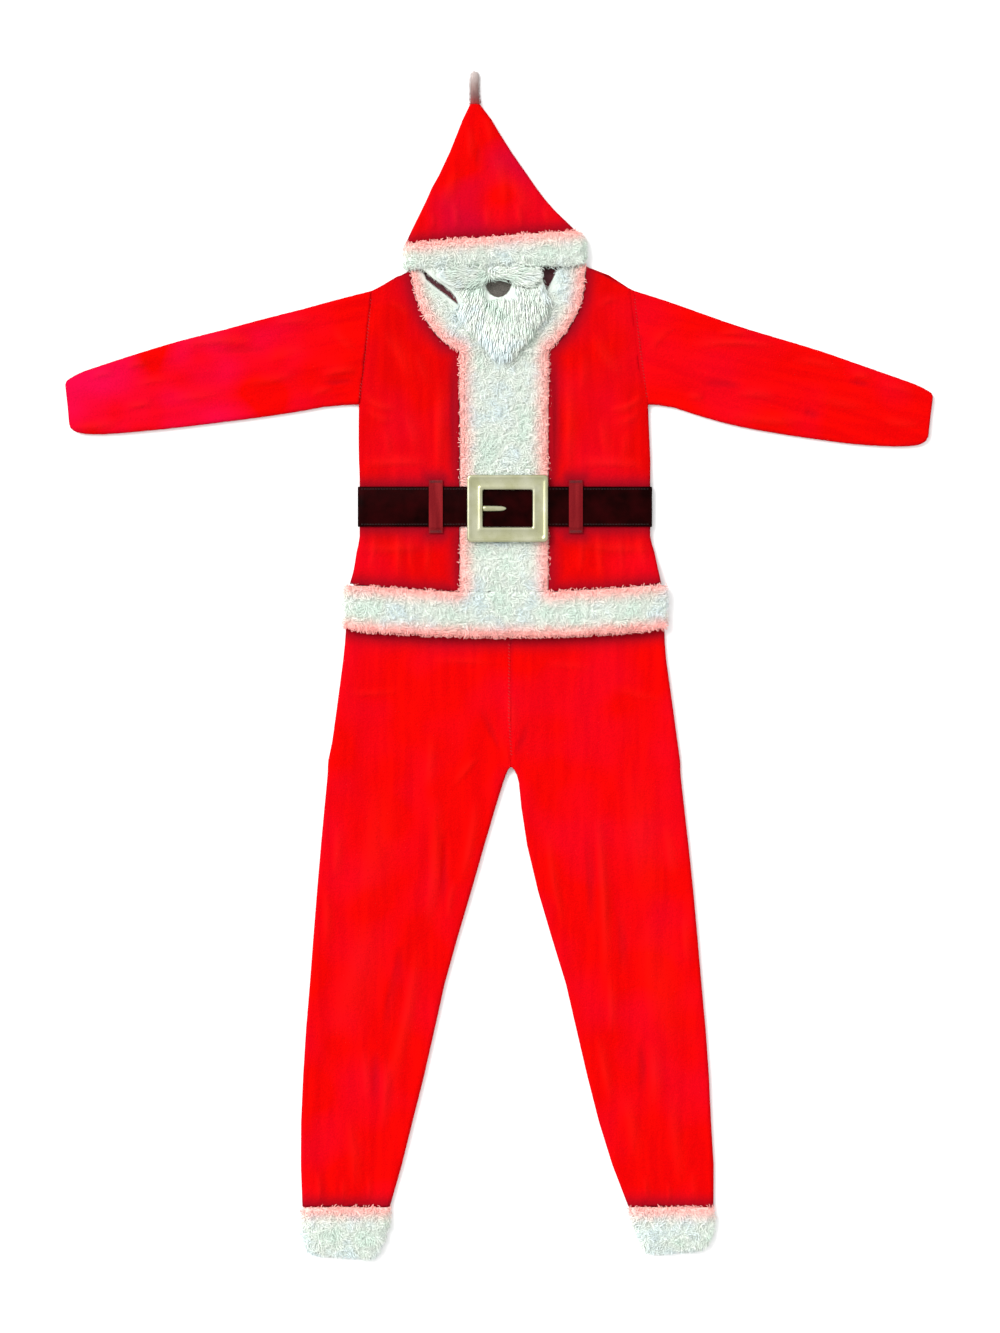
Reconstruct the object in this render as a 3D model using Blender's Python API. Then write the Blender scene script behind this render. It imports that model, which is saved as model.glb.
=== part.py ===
"""A child's Santa suit laid flat on its back: hat, beard, jacket, belt and trousers.

Metres, +Z up. The suit lies on the plane z = 0 with its front up, its hat towards +Y
and its trousers towards -Y. Every tube of cloth is pressed flat: a back layer that
rests, a front layer that lies on it, and rolled side edges where the two are sewn.
"""

import math
from collections import namedtuple

import bmesh
import bpy

# Gap left at every seam and under every piece that lies on another.
GAP = 0.0003
HALF_GAP = GAP / 2

# How the red fleece lies. An edge is the height of a rolled side edge, a middle the
# height of the two layers between the edges.
FLEECE = 0.0024
ROLL = 0.0060
LAID_EDGE = 0.0087
LAID_MIDDLE = 0.0066
SETTLE = 0.016

# White plush: a thick pile on a thin backing. In a tube of it, the two layers lie with
# only a thin slit between them.
PLUSH_ROUND = 0.0060
PLUSH_ROLL = 0.0100
PLUSH_SLIT = 0.0030

# Belt, loops and buckle.
BELT_THICK = 0.0022
BELT_LOW = 0.1833
BELT_HIGH = 0.2353
BELT_TUBE = 0.0070
LOOP_WIDTH = 0.0180
LOOP_THICK = 0.0020
LOOP_CENTRES = {"left": -0.0845, "right": 0.0970}
# A loop reaches this far past the belt, is sewn over the last of that, and steps down
# from the belt to the jacket in two slopes.
LOOP_REACH = 0.0085
LOOP_FOOT = 0.0045
LOOP_STEP = 0.0020
LOOP_DROP = 0.0008
BUCKLE_CENTRE = (0.0085, 0.2067)
BUCKLE_SIZE = (0.1050, 0.0870)
BUCKLE_OPENING = (0.0640, 0.0480)
BUCKLE_THICK = 0.0045
BUCKLE_BEVEL = 0.0014
BUCKLE_CORNER = 0.0050
OPENING_CORNER = 0.0020

# The jacket is lifted over the belt's back run, and over the trousers' waist.
BELT_LIFT = BELT_THICK + GAP
WAIST_HEIGHT = 0.0065
HEM_LIFT = WAIST_HEIGHT + GAP

# Sides of the front band, and the height of its foot and its head.
PLACKET_LEFT = -0.0546
PLACKET_RIGHT = 0.0624
PLACKET_TOP = 0.4112
PLACKET_THICK = 0.0072
PLACKET_BELTED = 0.0058
PLACKET_MIDDLE = (PLACKET_LEFT + PLACKET_RIGHT) / 2

# Colours, roughness.
RED = (0.870, 0.012, 0.014, 1.0)
DARK_RED = (0.300, 0.012, 0.014, 1.0)
WHITE = (0.800, 0.830, 0.800, 1.0)
BLACK = (0.008, 0.006, 0.006, 1.0)
GOLD = (0.600, 0.520, 0.300, 1.0)
GREY_FELT = (0.070, 0.065, 0.055, 1.0)
TAIL_GREY = (0.350, 0.170, 0.160, 1.0)


def clear_scene():
    for thing in list(bpy.data.objects):
        bpy.data.objects.remove(thing, do_unlink=True)


def finish(name, colour, roughness, metallic=0.0):
    material = bpy.data.materials.new(name)
    material.use_nodes = True
    shader = material.node_tree.nodes["Principled BSDF"]
    shader.inputs["Base Color"].default_value = colour
    shader.inputs["Roughness"].default_value = roughness
    shader.inputs["Metallic"].default_value = metallic
    return material


def mix(first, second, share):
    return first + (second - first) * share


def ease(at, start, end):
    """0 before start and 1 after end, with a soft slope between; start may be the higher."""
    share = min(max((at - start) / (end - start), 0.0), 1.0)
    return share * share * (3.0 - 2.0 * share)


def through(places, values):
    """A smooth function through (place, value) pairs that never swings past them."""
    pairs = sorted(zip(places, values))
    at = [pair[0] for pair in pairs]
    to = [pair[1] for pair in pairs]
    last = len(at) - 1
    rises = [(to[i + 1] - to[i]) / (at[i + 1] - at[i]) for i in range(last)]
    slopes = [rises[0]]
    for before, after in zip(rises, rises[1:]):
        product = before * after
        slopes.append(2.0 * product / (before + after) if product > 0.0 else 0.0)
    slopes.append(rises[-1])

    def value(place):
        i = 0
        while i < last - 1 and place > at[i + 1]:
            i += 1
        span = at[i + 1] - at[i]
        t = min(max((place - at[i]) / span, 0.0), 1.0)
        start = to[i] * (2 * t**3 - 3 * t**2 + 1) + slopes[i] * span * (t**3 - 2 * t**2 + t)
        end = to[i + 1] * (3 * t**2 - 2 * t**3) + slopes[i + 1] * span * (t**3 - t**2)
        return start + end

    return value


def columns_of(table, key):
    """One smooth function of the key for each other column of a table."""
    keys = [getattr(row, key) for row in table]
    names = [name for name in table[0]._fields if name != key]
    return {name: through(keys, [getattr(row, name) for row in table]) for name in names}


def along(table, count):
    """The table's rows made into count rows, evenly spread and smooth."""
    steps = list(range(len(table)))
    curves = [through(steps, [row[i] for row in table]) for i in range(len(table[0]))]
    places = [steps[-1] * i / (count - 1) for i in range(count)]
    return [type(table[0])(*[curve(place) for curve in curves]) for place in places]


# ---------------------------------------------------------------- meshes


def add_object(name, mesh, material):
    bmesh.ops.recalc_face_normals(mesh, faces=mesh.faces)
    data = bpy.data.meshes.new(name)
    mesh.to_mesh(data)
    mesh.free()
    data.materials.append(material)
    data.shade_smooth()
    data.set_sharp_from_angle(angle=math.radians(50))
    piece = bpy.data.objects.new(name, data)
    bpy.context.scene.collection.objects.link(piece)
    return piece


def wall(name, outer, inner, material, closed=False):
    """A cloth wall between two like grids of points, with its rims closed.

    Rows run along the piece and columns across it. With closed, the columns go all
    round, and only the two ends have rims.
    """
    mesh = bmesh.new()
    sheets = [[[mesh.verts.new(p) for p in row] for row in grid] for grid in (outer, inner)]
    rows = len(outer)
    columns = len(outer[0])
    spans = columns if closed else columns - 1
    for sheet in sheets:
        for i in range(rows - 1):
            for j in range(spans):
                k = (j + 1) % columns
                mesh.faces.new((sheet[i][j], sheet[i][k], sheet[i + 1][k], sheet[i + 1][j]))
    out, back = sheets
    for i in (0, rows - 1):
        for j in range(spans):
            k = (j + 1) % columns
            mesh.faces.new((out[i][j], out[i][k], back[i][k], back[i][j]))
    if not closed:
        for j in (0, columns - 1):
            for i in range(rows - 1):
                mesh.faces.new((out[i][j], out[i + 1][j], back[i + 1][j], back[i][j]))
    return add_object(name, mesh, material)


# ---------------------------------------------------------------- cloth laid flat

# A row runs straight across a laid tube from its first edge to its second. Each edge
# is rolled from 0, a flat seam, to 1, a full side edge. Base is what lifts the row.
Row = namedtuple("Row", "first second rolls edge middle base")

# A crease is a soft ridge, or a trough if its height is negative. Starts and ends are
# shares of the piece's length, and places are shares of its width at those two ends.
Crease = namedtuple("Crease", "start end place_start place_end width height")

# Creases fade out between a rolled edge and this far in from it.
CREASE_INSET = 3 * ROLL

# Facets round a rolled edge, above its seam and below it.
UPPER_STEPS = 3
LOWER_STEPS = 2


def crease_height(creases, along_share, across_share, width):
    height = 0.0
    for crease in creases:
        if not crease.start < along_share < crease.end:
            continue
        share = (along_share - crease.start) / (crease.end - crease.start)
        centre = mix(crease.place_start, crease.place_end, share)
        apart = (across_share - centre) * width / crease.width
        height += crease.height * math.sin(math.pi * share) * math.exp(-apart * apart)
    inset = min(across_share, 1.0 - across_share) * width
    return height * ease(inset, ROLL, CREASE_INSET)


def half_row(row, upper, columns, seam_gap, creases=(), along_share=0.0, plush=False):
    """The outer and inner points of one half of a laid tube, first edge to second."""
    (x1, y1), (x2, y2) = row.first, row.second
    width = math.hypot(x2 - x1, y2 - y1)
    cloth = (row.edge - PLUSH_SLIT) / 2 if plush else FLEECE
    roll = PLUSH_ROLL if plush else ROLL
    seam = row.edge / 2
    start = seam + seam_gap if upper else seam - seam_gap
    reach = row.edge - start if upper else start
    sign = 1.0 if upper else -1.0
    steps = UPPER_STEPS if upper else LOWER_STEPS

    def level(across):
        if not upper:
            return 0.0
        near = row.rolls[0] * math.exp(-(((across - roll) / SETTLE) ** 2))
        near += row.rolls[1] * math.exp(-(((width - roll - across) / SETTLE) ** 2))
        height = mix(row.middle, row.edge, min(near, 1.0))
        height += crease_height(creases, along_share, across / width, width)
        return max(height, 2 * cloth + GAP)

    def rolled(step, amount):
        turn = math.pi / 2 * step / steps
        flat = roll * step / steps
        outer_across = mix(flat, roll * (1 - math.cos(turn)), amount)
        outer_height = mix(level(flat), start + sign * reach * math.sin(turn), amount)
        inner_across = mix(flat, roll - (roll - cloth) * math.cos(turn), amount)
        inner_rolled = start + sign * (reach - cloth) * math.sin(turn)
        inner_height = mix(level(flat) - sign * cloth, inner_rolled, amount)
        return (outer_across, outer_height), (inner_across, inner_height)

    pairs = [rolled(step, row.rolls[0]) for step in range(steps + 1)]
    for column in range(1, columns):
        across = roll + (width - 2 * roll) * column / columns
        height = level(across)
        pairs.append(((across, height), (across, height - sign * cloth)))
    for step in reversed(range(steps + 1)):
        (a, z), (b, h) = rolled(step, row.rolls[1])
        pairs.append(((width - a, z), (width - b, h)))

    def place(across, height):
        share = across / width
        return (mix(x1, x2, share), mix(y1, y2, share), height + row.base)

    outer = [place(*pair[0]) for pair in pairs]
    inner = [place(*pair[1]) for pair in pairs]
    return outer, inner


def half_tube(name, rows, upper, columns, material, creases=(), foot=None):
    """The front or the back of a laid tube, with its open sides sewn to the other.

    The last row is cut along the curve foot, if there is one.
    """
    last = len(rows) - 1
    outer = []
    inner = []
    for i, row in enumerate(rows):
        out_row, in_row = half_row(row, upper, columns, HALF_GAP, creases, i / last)
        if foot and i == last:
            out_row = [(x, foot(x), z) for x, _, z in out_row]
            in_row = [(x, foot(x), z) for x, _, z in in_row]
        outer.append(out_row)
        inner.append(in_row)
    return wall(name, outer, inner, material)


def whole_tube(name, rows, columns, material, creases=(), plush=False):
    """A laid tube cut in one piece, open at both ends."""
    last = len(rows) - 1
    outer = []
    inner = []
    for i, row in enumerate(rows):
        top = half_row(row, True, columns[0], 0.0, creases, i / last, plush)
        under = half_row(row, False, columns[1], 0.0, plush=plush)
        outer.append(top[0] + under[0][-2:0:-1])
        inner.append(top[1] + under[1][-2:0:-1])
    return wall(name, outer, inner, material, closed=True)


# ---------------------------------------------------------------- plush bands

# A station of a band is the straight line from its first edge to its second, with the
# height of what it lies on and its own thickness there.
Station = namedtuple("Station", "first second under thick")

# The rounded top of a band: how far in from its edge, in shares of the rounding, and
# how high, in shares of the thickness.
EDGE_PROFILE = ((0.0, 0.50), (0.25, 0.78), (0.60, 0.93), (1.0, 1.0))
# The most of a band's width that the rounding of one edge takes.
MOST_ROUND = 0.4


def level_at(height):
    """What a band lies on, where that is one height all over."""
    return lambda x, y: height


def band(name, stations, columns, material, rounding=PLUSH_ROUND, foot=None):
    """A plush band with rounded long edges; its ends are as thick as their stations.

    The last station is cut along the curve foot, if there is one.
    """
    top = []
    under = []
    for station in stations:
        (x1, y1), (x2, y2) = station.first, station.second
        width = math.hypot(x2 - x1, y2 - y1)
        reach = min(rounding, MOST_ROUND * width)
        line = [(reach * inset, high) for inset, high in EDGE_PROFILE]
        for column in range(1, columns):
            line.append((reach + (width - 2 * reach) * column / columns, 1.0))
        line += [(width - reach * inset, high) for inset, high in reversed(EDGE_PROFILE)]
        top_row = []
        under_row = []
        for across, high in line:
            x = mix(x1, x2, across / width)
            y = mix(y1, y2, across / width)
            floor = station.under(x, y)
            if foot and station is stations[-1]:
                y = foot(x)
            top_row.append((x, y, floor + station.thick * high))
            under_row.append((x, y, floor))
        top.append(top_row)
        under.append(under_row)
    return wall(name, top, under, material)


# ---------------------------------------------------------------- trousers

# Heights down the legs, with the outer edge and the inner edge of each leg.
LegRow = namedtuple("LegRow", "y outer inner")
LEFT_LEG = (
    LegRow(0.088, -0.199, 0.013),
    LegRow(0.030, -0.203, 0.013),
    LegRow(-0.042, -0.212, 0.013),
    LegRow(-0.094, -0.219, 0.013),
    LegRow(-0.128, -0.225, 0.013),
    LegRow(-0.132, -0.225, 0.0095),
    LegRow(-0.146, -0.226, 0.004),
    LegRow(-0.198, -0.231, -0.012),
    LegRow(-0.302, -0.240, -0.042),
    LegRow(-0.406, -0.248, -0.072),
    LegRow(-0.510, -0.256, -0.095),
    LegRow(-0.614, -0.260, -0.121),
    LegRow(-0.666, -0.260, -0.134),
    LegRow(-0.699, -0.258, -0.144),
)
RIGHT_LEG = (
    LegRow(0.088, 0.211, 0.013),
    LegRow(0.030, 0.213, 0.013),
    LegRow(-0.042, 0.222, 0.013),
    LegRow(-0.094, 0.229, 0.013),
    LegRow(-0.128, 0.233, 0.013),
    LegRow(-0.132, 0.233, 0.0170),
    LegRow(-0.146, 0.234, 0.0225),
    LegRow(-0.198, 0.240, 0.028),
    LegRow(-0.302, 0.251, 0.051),
    LegRow(-0.406, 0.260, 0.083),
    LegRow(-0.510, 0.269, 0.107),
    LegRow(-0.614, 0.274, 0.134),
    LegRow(-0.666, 0.277, 0.152),
    LegRow(-0.699, 0.276, 0.165),
)
CROTCH = -0.128
# The inner edges are flat down to the first height and rolled below the second.
INNER_FLAT = CROTCH + 0.004
INNER_ROLLED = CROTCH - 0.020
# The trousers are pressed flat above the first height and lie free below the second.
WAIST_LOW = 0.032
FREE_HIGH = -0.012
LEG_HEIGHTS = (
    0.088,
    0.032,
    0.010,
    -0.014,
    -0.055,
    -0.095,
    -0.120,
    -0.128,
    -0.132,
    -0.139,
    -0.149,
    -0.180,
    -0.230,
    -0.290,
    -0.350,
    -0.410,
    -0.470,
    -0.530,
    -0.590,
    -0.645,
    -0.699,
)
LEFT_LEG_CREASES = (
    Crease(0.06, 0.30, 0.97, 0.80, 0.013, 0.0022),
    Crease(0.10, 0.34, 0.80, 0.55, 0.020, 0.0018),
    Crease(0.16, 0.62, 0.30, 0.38, 0.016, 0.0024),
    Crease(0.34, 0.86, 0.66, 0.60, 0.013, 0.0026),
    Crease(0.55, 0.99, 0.34, 0.42, 0.012, 0.0020),
    Crease(0.70, 1.00, 0.70, 0.56, 0.010, 0.0022),
)
RIGHT_LEG_CREASES = (
    Crease(0.05, 0.26, 0.96, 0.84, 0.014, 0.0020),
    Crease(0.10, 0.38, 0.72, 0.50, 0.018, 0.0022),
    Crease(0.22, 0.70, 0.36, 0.30, 0.016, 0.0026),
    Crease(0.40, 0.92, 0.64, 0.68, 0.013, 0.0022),
    Crease(0.62, 1.00, 0.44, 0.36, 0.012, 0.0024),
)


def leg_rows(table):
    """Rows down one leg. The centre seam is flat, and the leg rolls below the crotch."""
    curves = columns_of(table, "y")
    side = 1.0 if table[0].outer > table[0].inner else -1.0
    rows = []
    for y in LEG_HEIGHTS:
        inner_roll = ease(y, INNER_FLAT, INNER_ROLLED)
        free = ease(y, WAIST_LOW, FREE_HIGH)
        rows.append(
            Row(
                first=(curves["outer"](y), y),
                second=(curves["inner"](y) + side * HALF_GAP, y),
                rolls=(1.0, inner_roll),
                edge=mix(WAIST_HEIGHT, LAID_EDGE, free),
                middle=mix(WAIST_HEIGHT - GAP, LAID_MIDDLE, free),
                base=0.0,
            )
        )
    return rows


def make_trousers(red):
    for side, table, creases in (
        ("left", LEFT_LEG, LEFT_LEG_CREASES),
        ("right", RIGHT_LEG, RIGHT_LEG_CREASES),
    ):
        rows = leg_rows(table)
        half_tube(f"pants_{side}_front", rows, True, 8, red, creases)
        half_tube(f"pants_{side}_back", rows, False, 2, red)


# The cuffs: each row's height and its two edges. The lower corners are round.
CuffRow = namedtuple("CuffRow", "y outer inner edge")
LEFT_CUFF = (
    CuffRow(-0.6993, -0.2565, -0.1450, 0.0100),
    CuffRow(-0.7040, -0.2590, -0.1430, 0.0130),
    CuffRow(-0.7200, -0.2597, -0.1445, 0.0142),
    CuffRow(-0.7400, -0.2590, -0.1510, 0.0142),
    CuffRow(-0.7560, -0.2560, -0.1570, 0.0135),
    CuffRow(-0.7660, -0.2480, -0.1650, 0.0115),
)
RIGHT_CUFF = (
    CuffRow(-0.6993, 0.2750, 0.1660, 0.0100),
    CuffRow(-0.7040, 0.2770, 0.1640, 0.0130),
    CuffRow(-0.7190, 0.2775, 0.1700, 0.0142),
    CuffRow(-0.7370, 0.2755, 0.1760, 0.0142),
    CuffRow(-0.7510, 0.2700, 0.1810, 0.0135),
    CuffRow(-0.7600, 0.2610, 0.1890, 0.0115),
)
# How much a cuff's outer corner rises, and how much its inner corner drops.
CUFF_RISE = 0.0050
CUFF_DROP = 0.00125


def make_cuffs(white):
    for side, table in (("left", LEFT_CUFF), ("right", RIGHT_CUFF)):
        rows = []
        for i, cuff in enumerate(table):
            share = i / (len(table) - 1)
            rows.append(
                Row(
                    first=(cuff.outer, cuff.y + CUFF_RISE * share),
                    second=(cuff.inner, cuff.y - CUFF_DROP * share),
                    rolls=(1.0, 1.0),
                    edge=cuff.edge,
                    middle=cuff.edge,
                    base=0.0,
                )
            )
        whole_tube(f"pants_cuff_{side}", rows, (5, 2), white, plush=True)


# ---------------------------------------------------------------- jacket

# Sides of the jacket below the arms.
SideRow = namedtuple("SideRow", "y left right")
JACKET_SIDES = (
    SideRow(0.342, -0.1846, 0.1911),
    SideRow(0.303, -0.1850, 0.1925),
    SideRow(0.270, -0.1846, 0.1940),
    SideRow(0.2475, -0.1836, 0.1938),
    SideRow(0.171, -0.1836, 0.1938),
    SideRow(0.150, -0.1878, 0.1995),
    SideRow(0.127, -0.1911, 0.2041),
    SideRow(0.108, -0.1963, 0.2080),
    SideRow(0.088, -0.2002, 0.2106),
    SideRow(0.069, -0.2015, 0.2125),
    SideRow(0.030, -0.2015, 0.2120),
)

# Ends of the straight armhole seams, at the shoulder and under the arm.
ARMHOLES = {
    "left": ((-0.1677, 0.4901), (-0.1846, 0.3420)),
    "right": ((0.1729, 0.4901), (0.1911, 0.3420)),
}

# Each side of the collar from the neck down to the front band: its outer edge, which is
# the jacket's neckline, its free inner edge, and where the jacket front's row meets the
# armhole, as a height.
NeckRow = namedtuple("NeckRow", "outer_x outer_y inner_x inner_y arm_y")
LEFT_NECK = (
    NeckRow(-0.1185, 0.5161, -0.1015, 0.5165, 0.4900),
    NeckRow(-0.1150, 0.4960, -0.0955, 0.5030, 0.4740),
    NeckRow(-0.1075, 0.4700, -0.0790, 0.4910, 0.4530),
    NeckRow(-0.0940, 0.4440, -0.0600, 0.4760, 0.4310),
    NeckRow(-0.0760, 0.4230, -0.0370, 0.4580, 0.4110),
    NeckRow(-0.0650, 0.4160, -0.0130, 0.4360, 0.3970),
    NeckRow(-0.0546, 0.4112, 0.0036, 0.4112, 0.3830),
)
RIGHT_NECK = (
    NeckRow(0.1112, 0.5215, 0.0745, 0.5206, 0.4900),
    NeckRow(0.1090, 0.4960, 0.0660, 0.5030, 0.4740),
    NeckRow(0.1050, 0.4730, 0.0570, 0.4880, 0.4530),
    NeckRow(0.0945, 0.4500, 0.0450, 0.4690, 0.4310),
    NeckRow(0.0800, 0.4290, 0.0290, 0.4510, 0.4110),
    NeckRow(0.0710, 0.4195, 0.0170, 0.4330, 0.3970),
    NeckRow(0.0624, 0.4112, 0.0042, 0.4112, 0.3830),
)
NECK_ROWS = 8

# Rows of the jacket below the neckline: the height at its side and at its middle.
BodyRow = namedtuple("BodyRow", "side_y middle_y")
BODY_ROWS = (
    BodyRow(0.3660, 0.3920),
    BodyRow(0.3510, 0.3740),
    BodyRow(0.3420, 0.3580),
    BodyRow(0.3340, 0.3430),
    BodyRow(0.3160, 0.3200),
    BodyRow(0.2930, 0.2930),
    BodyRow(0.2700, 0.2700),
    BodyRow(0.2585, 0.2585),
    BodyRow(0.2475, 0.2475),
    BodyRow(0.1710, 0.1710),
    BodyRow(0.1605, 0.1605),
    BodyRow(0.1500, 0.1500),
    BodyRow(0.1405, 0.1405),
    BodyRow(0.1310, 0.1310),
    BodyRow(0.1220, 0.1200),
    BodyRow(0.1090, 0.0990),
)
BELT_FLAT_HIGH = 0.2475
BELT_FLAT_LOW = 0.1710
BELT_FREE_HIGH = 0.2700
BELT_FREE_LOW = 0.1500
HEM_RISE_HIGH = 0.1500
HEM_RISE_LOW = 0.1200
HEM_HALF = 0.2000
SIDE_ROLL_STARTS = 0.0090

LEFT_FRONT_CREASES = (
    Crease(0.02, 0.40, 0.12, 0.62, 0.022, 0.0026),
    Crease(0.18, 0.52, 0.05, 0.55, 0.016, 0.0020),
    Crease(0.30, 0.68, 0.80, 0.60, 0.014, 0.0018),
    Crease(0.38, 0.72, 0.36, 0.44, 0.014, 0.0022),
)
RIGHT_FRONT_CREASES = (
    Crease(0.02, 0.42, 0.16, 0.66, 0.020, 0.0022),
    Crease(0.16, 0.50, 0.04, 0.48, 0.018, 0.0026),
    Crease(0.34, 0.70, 0.72, 0.56, 0.014, 0.0022),
    Crease(0.40, 0.70, 0.28, 0.34, 0.013, 0.0016),
)


def armhole_x(side, y):
    (x1, y1), (x2, y2) = ARMHOLES[side]
    return mix(x1, x2, (y - y1) / (y2 - y1))


def belted(y):
    """1 where the belt presses the jacket flat, and 0 away from it."""
    above = ease(y, BELT_FREE_HIGH, BELT_FLAT_HIGH)
    below = ease(y, BELT_FREE_LOW, BELT_FLAT_LOW)
    return above * below


def jacket_base(y):
    """What lifts the jacket off the plane: the belt's back run and the trousers' waist."""
    return BELT_LIFT * belted(y) + HEM_LIFT * ease(y, HEM_RISE_HIGH, HEM_RISE_LOW)


def jacket_row(first, second, rolls):
    y = (first[1] + second[1]) / 2
    return Row(
        first=first,
        second=second,
        rolls=rolls,
        edge=mix(LAID_EDGE, BELT_TUBE, belted(y)),
        middle=mix(LAID_MIDDLE, BELT_TUBE, belted(y)),
        base=jacket_base(y),
    )


def side_roll(y):
    """The side seam rolls below the arm; beside the sleeve it is flat."""
    under_arm = ARMHOLES["left"][1][1]
    return ease(y, under_arm, under_arm - SIDE_ROLL_STARTS)


def hem_top(x):
    """The seam between the jacket and its hem band: it dips towards the middle."""
    out = min(abs(x - PLACKET_MIDDLE) / HEM_HALF, 1.0)
    return 0.0985 + 0.0105 * out * out


def hem_bottom(x):
    """The free lower edge of the hem band, which dips less."""
    out = min(abs(x - PLACKET_MIDDLE) / HEM_HALF, 1.0)
    return 0.0370 + 0.0090 * out * out


def hem_seam(x):
    return hem_top(x) + GAP


def front_rows(side, neck):
    """Rows of one jacket front, from the shoulder down to the hem band."""
    sides = columns_of(JACKET_SIDES, "y")[side]
    sign = -1.0 if side == "left" else 1.0
    placket_x = PLACKET_LEFT if side == "left" else PLACKET_RIGHT
    under_arm = ARMHOLES[side][1][1]
    rows = []
    for point in along(neck, NECK_ROWS)[:-1]:
        outer = (armhole_x(side, point.arm_y) - sign * HALF_GAP, point.arm_y)
        neckline = (point.outer_x + sign * HALF_GAP, point.outer_y - HALF_GAP)
        rows.append(jacket_row(outer, neckline, (0.0, 0.0)))
    corner = neck[-1]
    starts = [BodyRow(corner.arm_y, corner.outer_y - HALF_GAP), *BODY_ROWS]
    for body in starts:
        if body.side_y >= under_arm:
            edge_x = armhole_x(side, body.side_y) - sign * HALF_GAP
        else:
            edge_x = sides(body.side_y)
        outer = (edge_x, body.side_y)
        inner = (placket_x + sign * HALF_GAP, body.middle_y)
        rows.append(jacket_row(outer, inner, (side_roll(body.side_y), 0.0)))
    return rows


def brim_bottom(x):
    """The lower edge of the hat's brim, which rises a little from left to right."""
    return mix(0.5165, 0.5220, (x + 0.1274) / 0.2334)


# The jacket back's top edge: the shoulders, and the back of the neck under the hat.
TopPoint = namedtuple("TopPoint", "x y")
BACK_TOP = (
    TopPoint(-0.1677, 0.4898),
    TopPoint(-0.1183, 0.5150),
    TopPoint(-0.1070, 0.5163),
    TopPoint(0.0780, 0.5206),
    TopPoint(0.1110, 0.5211),
    TopPoint(0.1729, 0.4898),
)
BACK_COLUMNS = 12
BACK_TOP_ROWS = (0.0, 0.22, 0.45, 0.70)


def back_edge_x(side, y):
    under_arm = ARMHOLES[side][1][1]
    sign = -1.0 if side == "left" else 1.0
    if y >= under_arm:
        return armhole_x(side, min(y, ARMHOLES[side][0][1])) - sign * HALF_GAP
    return columns_of(JACKET_SIDES, "y")[side](y)


def make_jacket_back(red):
    """The back, a flat layer whose side edges roll up below the arms."""
    shoulder = through([p.x for p in BACK_TOP], [p.y for p in BACK_TOP])
    start = BODY_ROWS[0].side_y
    rows = []
    for body in BODY_ROWS:
        left = (back_edge_x("left", body.side_y), body.side_y)
        right = (back_edge_x("right", body.side_y), body.side_y)
        rolls = (side_roll(body.side_y), side_roll(body.side_y))
        rows.append(jacket_row(left, right, rolls))
    outer = []
    inner = []
    for row in rows:
        out_row, in_row = half_row(row, False, BACK_COLUMNS, HALF_GAP)
        outer.append(out_row)
        inner.append(in_row)
    outer[-1] = [(x, hem_seam(x), z) for x, _, z in outer[-1]]
    inner[-1] = [(x, hem_seam(x), z) for x, _, z in inner[-1]]
    top_outer = []
    top_inner = []
    for share in BACK_TOP_ROWS:
        out_row = []
        in_row = []
        for x, _, _ in outer[0]:
            across = (x - outer[0][0][0]) / (outer[0][-1][0] - outer[0][0][0])
            top_x = mix(BACK_TOP[0].x + HALF_GAP, BACK_TOP[-1].x - HALF_GAP, across)
            place_x = mix(top_x, x, share)
            place_y = mix(shoulder(top_x), start, share)
            out_row.append((place_x, place_y, 0.0))
            in_row.append((place_x, place_y, FLEECE))
        top_outer.append(out_row)
        top_inner.append(in_row)
    wall("jacket_back", top_outer + outer, top_inner + inner, red)


def make_jacket_fronts(red):
    for side, neck, creases in (
        ("left", LEFT_NECK, LEFT_FRONT_CREASES),
        ("right", RIGHT_NECK, RIGHT_FRONT_CREASES),
    ):
        rows = front_rows(side, neck)
        half_tube(f"jacket_front_{side}", rows, True, 6, red, creases, foot=hem_seam)


# Sleeves from the armhole to the wrist: the points of the top fold and of the underarm.
SleeveRow = namedtuple("SleeveRow", "top_x top_y under_x under_y")
LEFT_SLEEVE = (
    SleeveRow(-0.1677, 0.4901, -0.1846, 0.3420),
    SleeveRow(-0.2093, 0.4797, -0.2180, 0.3403),
    SleeveRow(-0.2613, 0.4654, -0.2640, 0.3325),
    SleeveRow(-0.3133, 0.4524, -0.3140, 0.3250),
    SleeveRow(-0.3653, 0.4381, -0.3653, 0.3185),
    SleeveRow(-0.4173, 0.4251, -0.4180, 0.3120),
    SleeveRow(-0.4693, 0.4095, -0.4700, 0.3068),
    SleeveRow(-0.5213, 0.3926, -0.5200, 0.3030),
    SleeveRow(-0.5520, 0.3815, -0.5480, 0.3045),
    SleeveRow(-0.5660, 0.3720, -0.5600, 0.3120),
)
RIGHT_SLEEVE = (
    SleeveRow(0.1729, 0.4901, 0.1911, 0.3420),
    SleeveRow(0.2067, 0.4797, 0.2140, 0.3403),
    SleeveRow(0.2587, 0.4615, 0.2600, 0.3263),
    SleeveRow(0.3107, 0.4433, 0.3090, 0.3133),
    SleeveRow(0.3627, 0.4277, 0.3600, 0.3042),
    SleeveRow(0.4147, 0.4121, 0.4120, 0.2964),
    SleeveRow(0.4667, 0.3939, 0.4640, 0.2899),
    SleeveRow(0.5187, 0.3757, 0.5120, 0.2873),
    SleeveRow(0.5470, 0.3650, 0.5400, 0.2885),
    SleeveRow(0.5612, 0.3560, 0.5540, 0.2955),
)
SLEEVE_ROWS = 15
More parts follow.
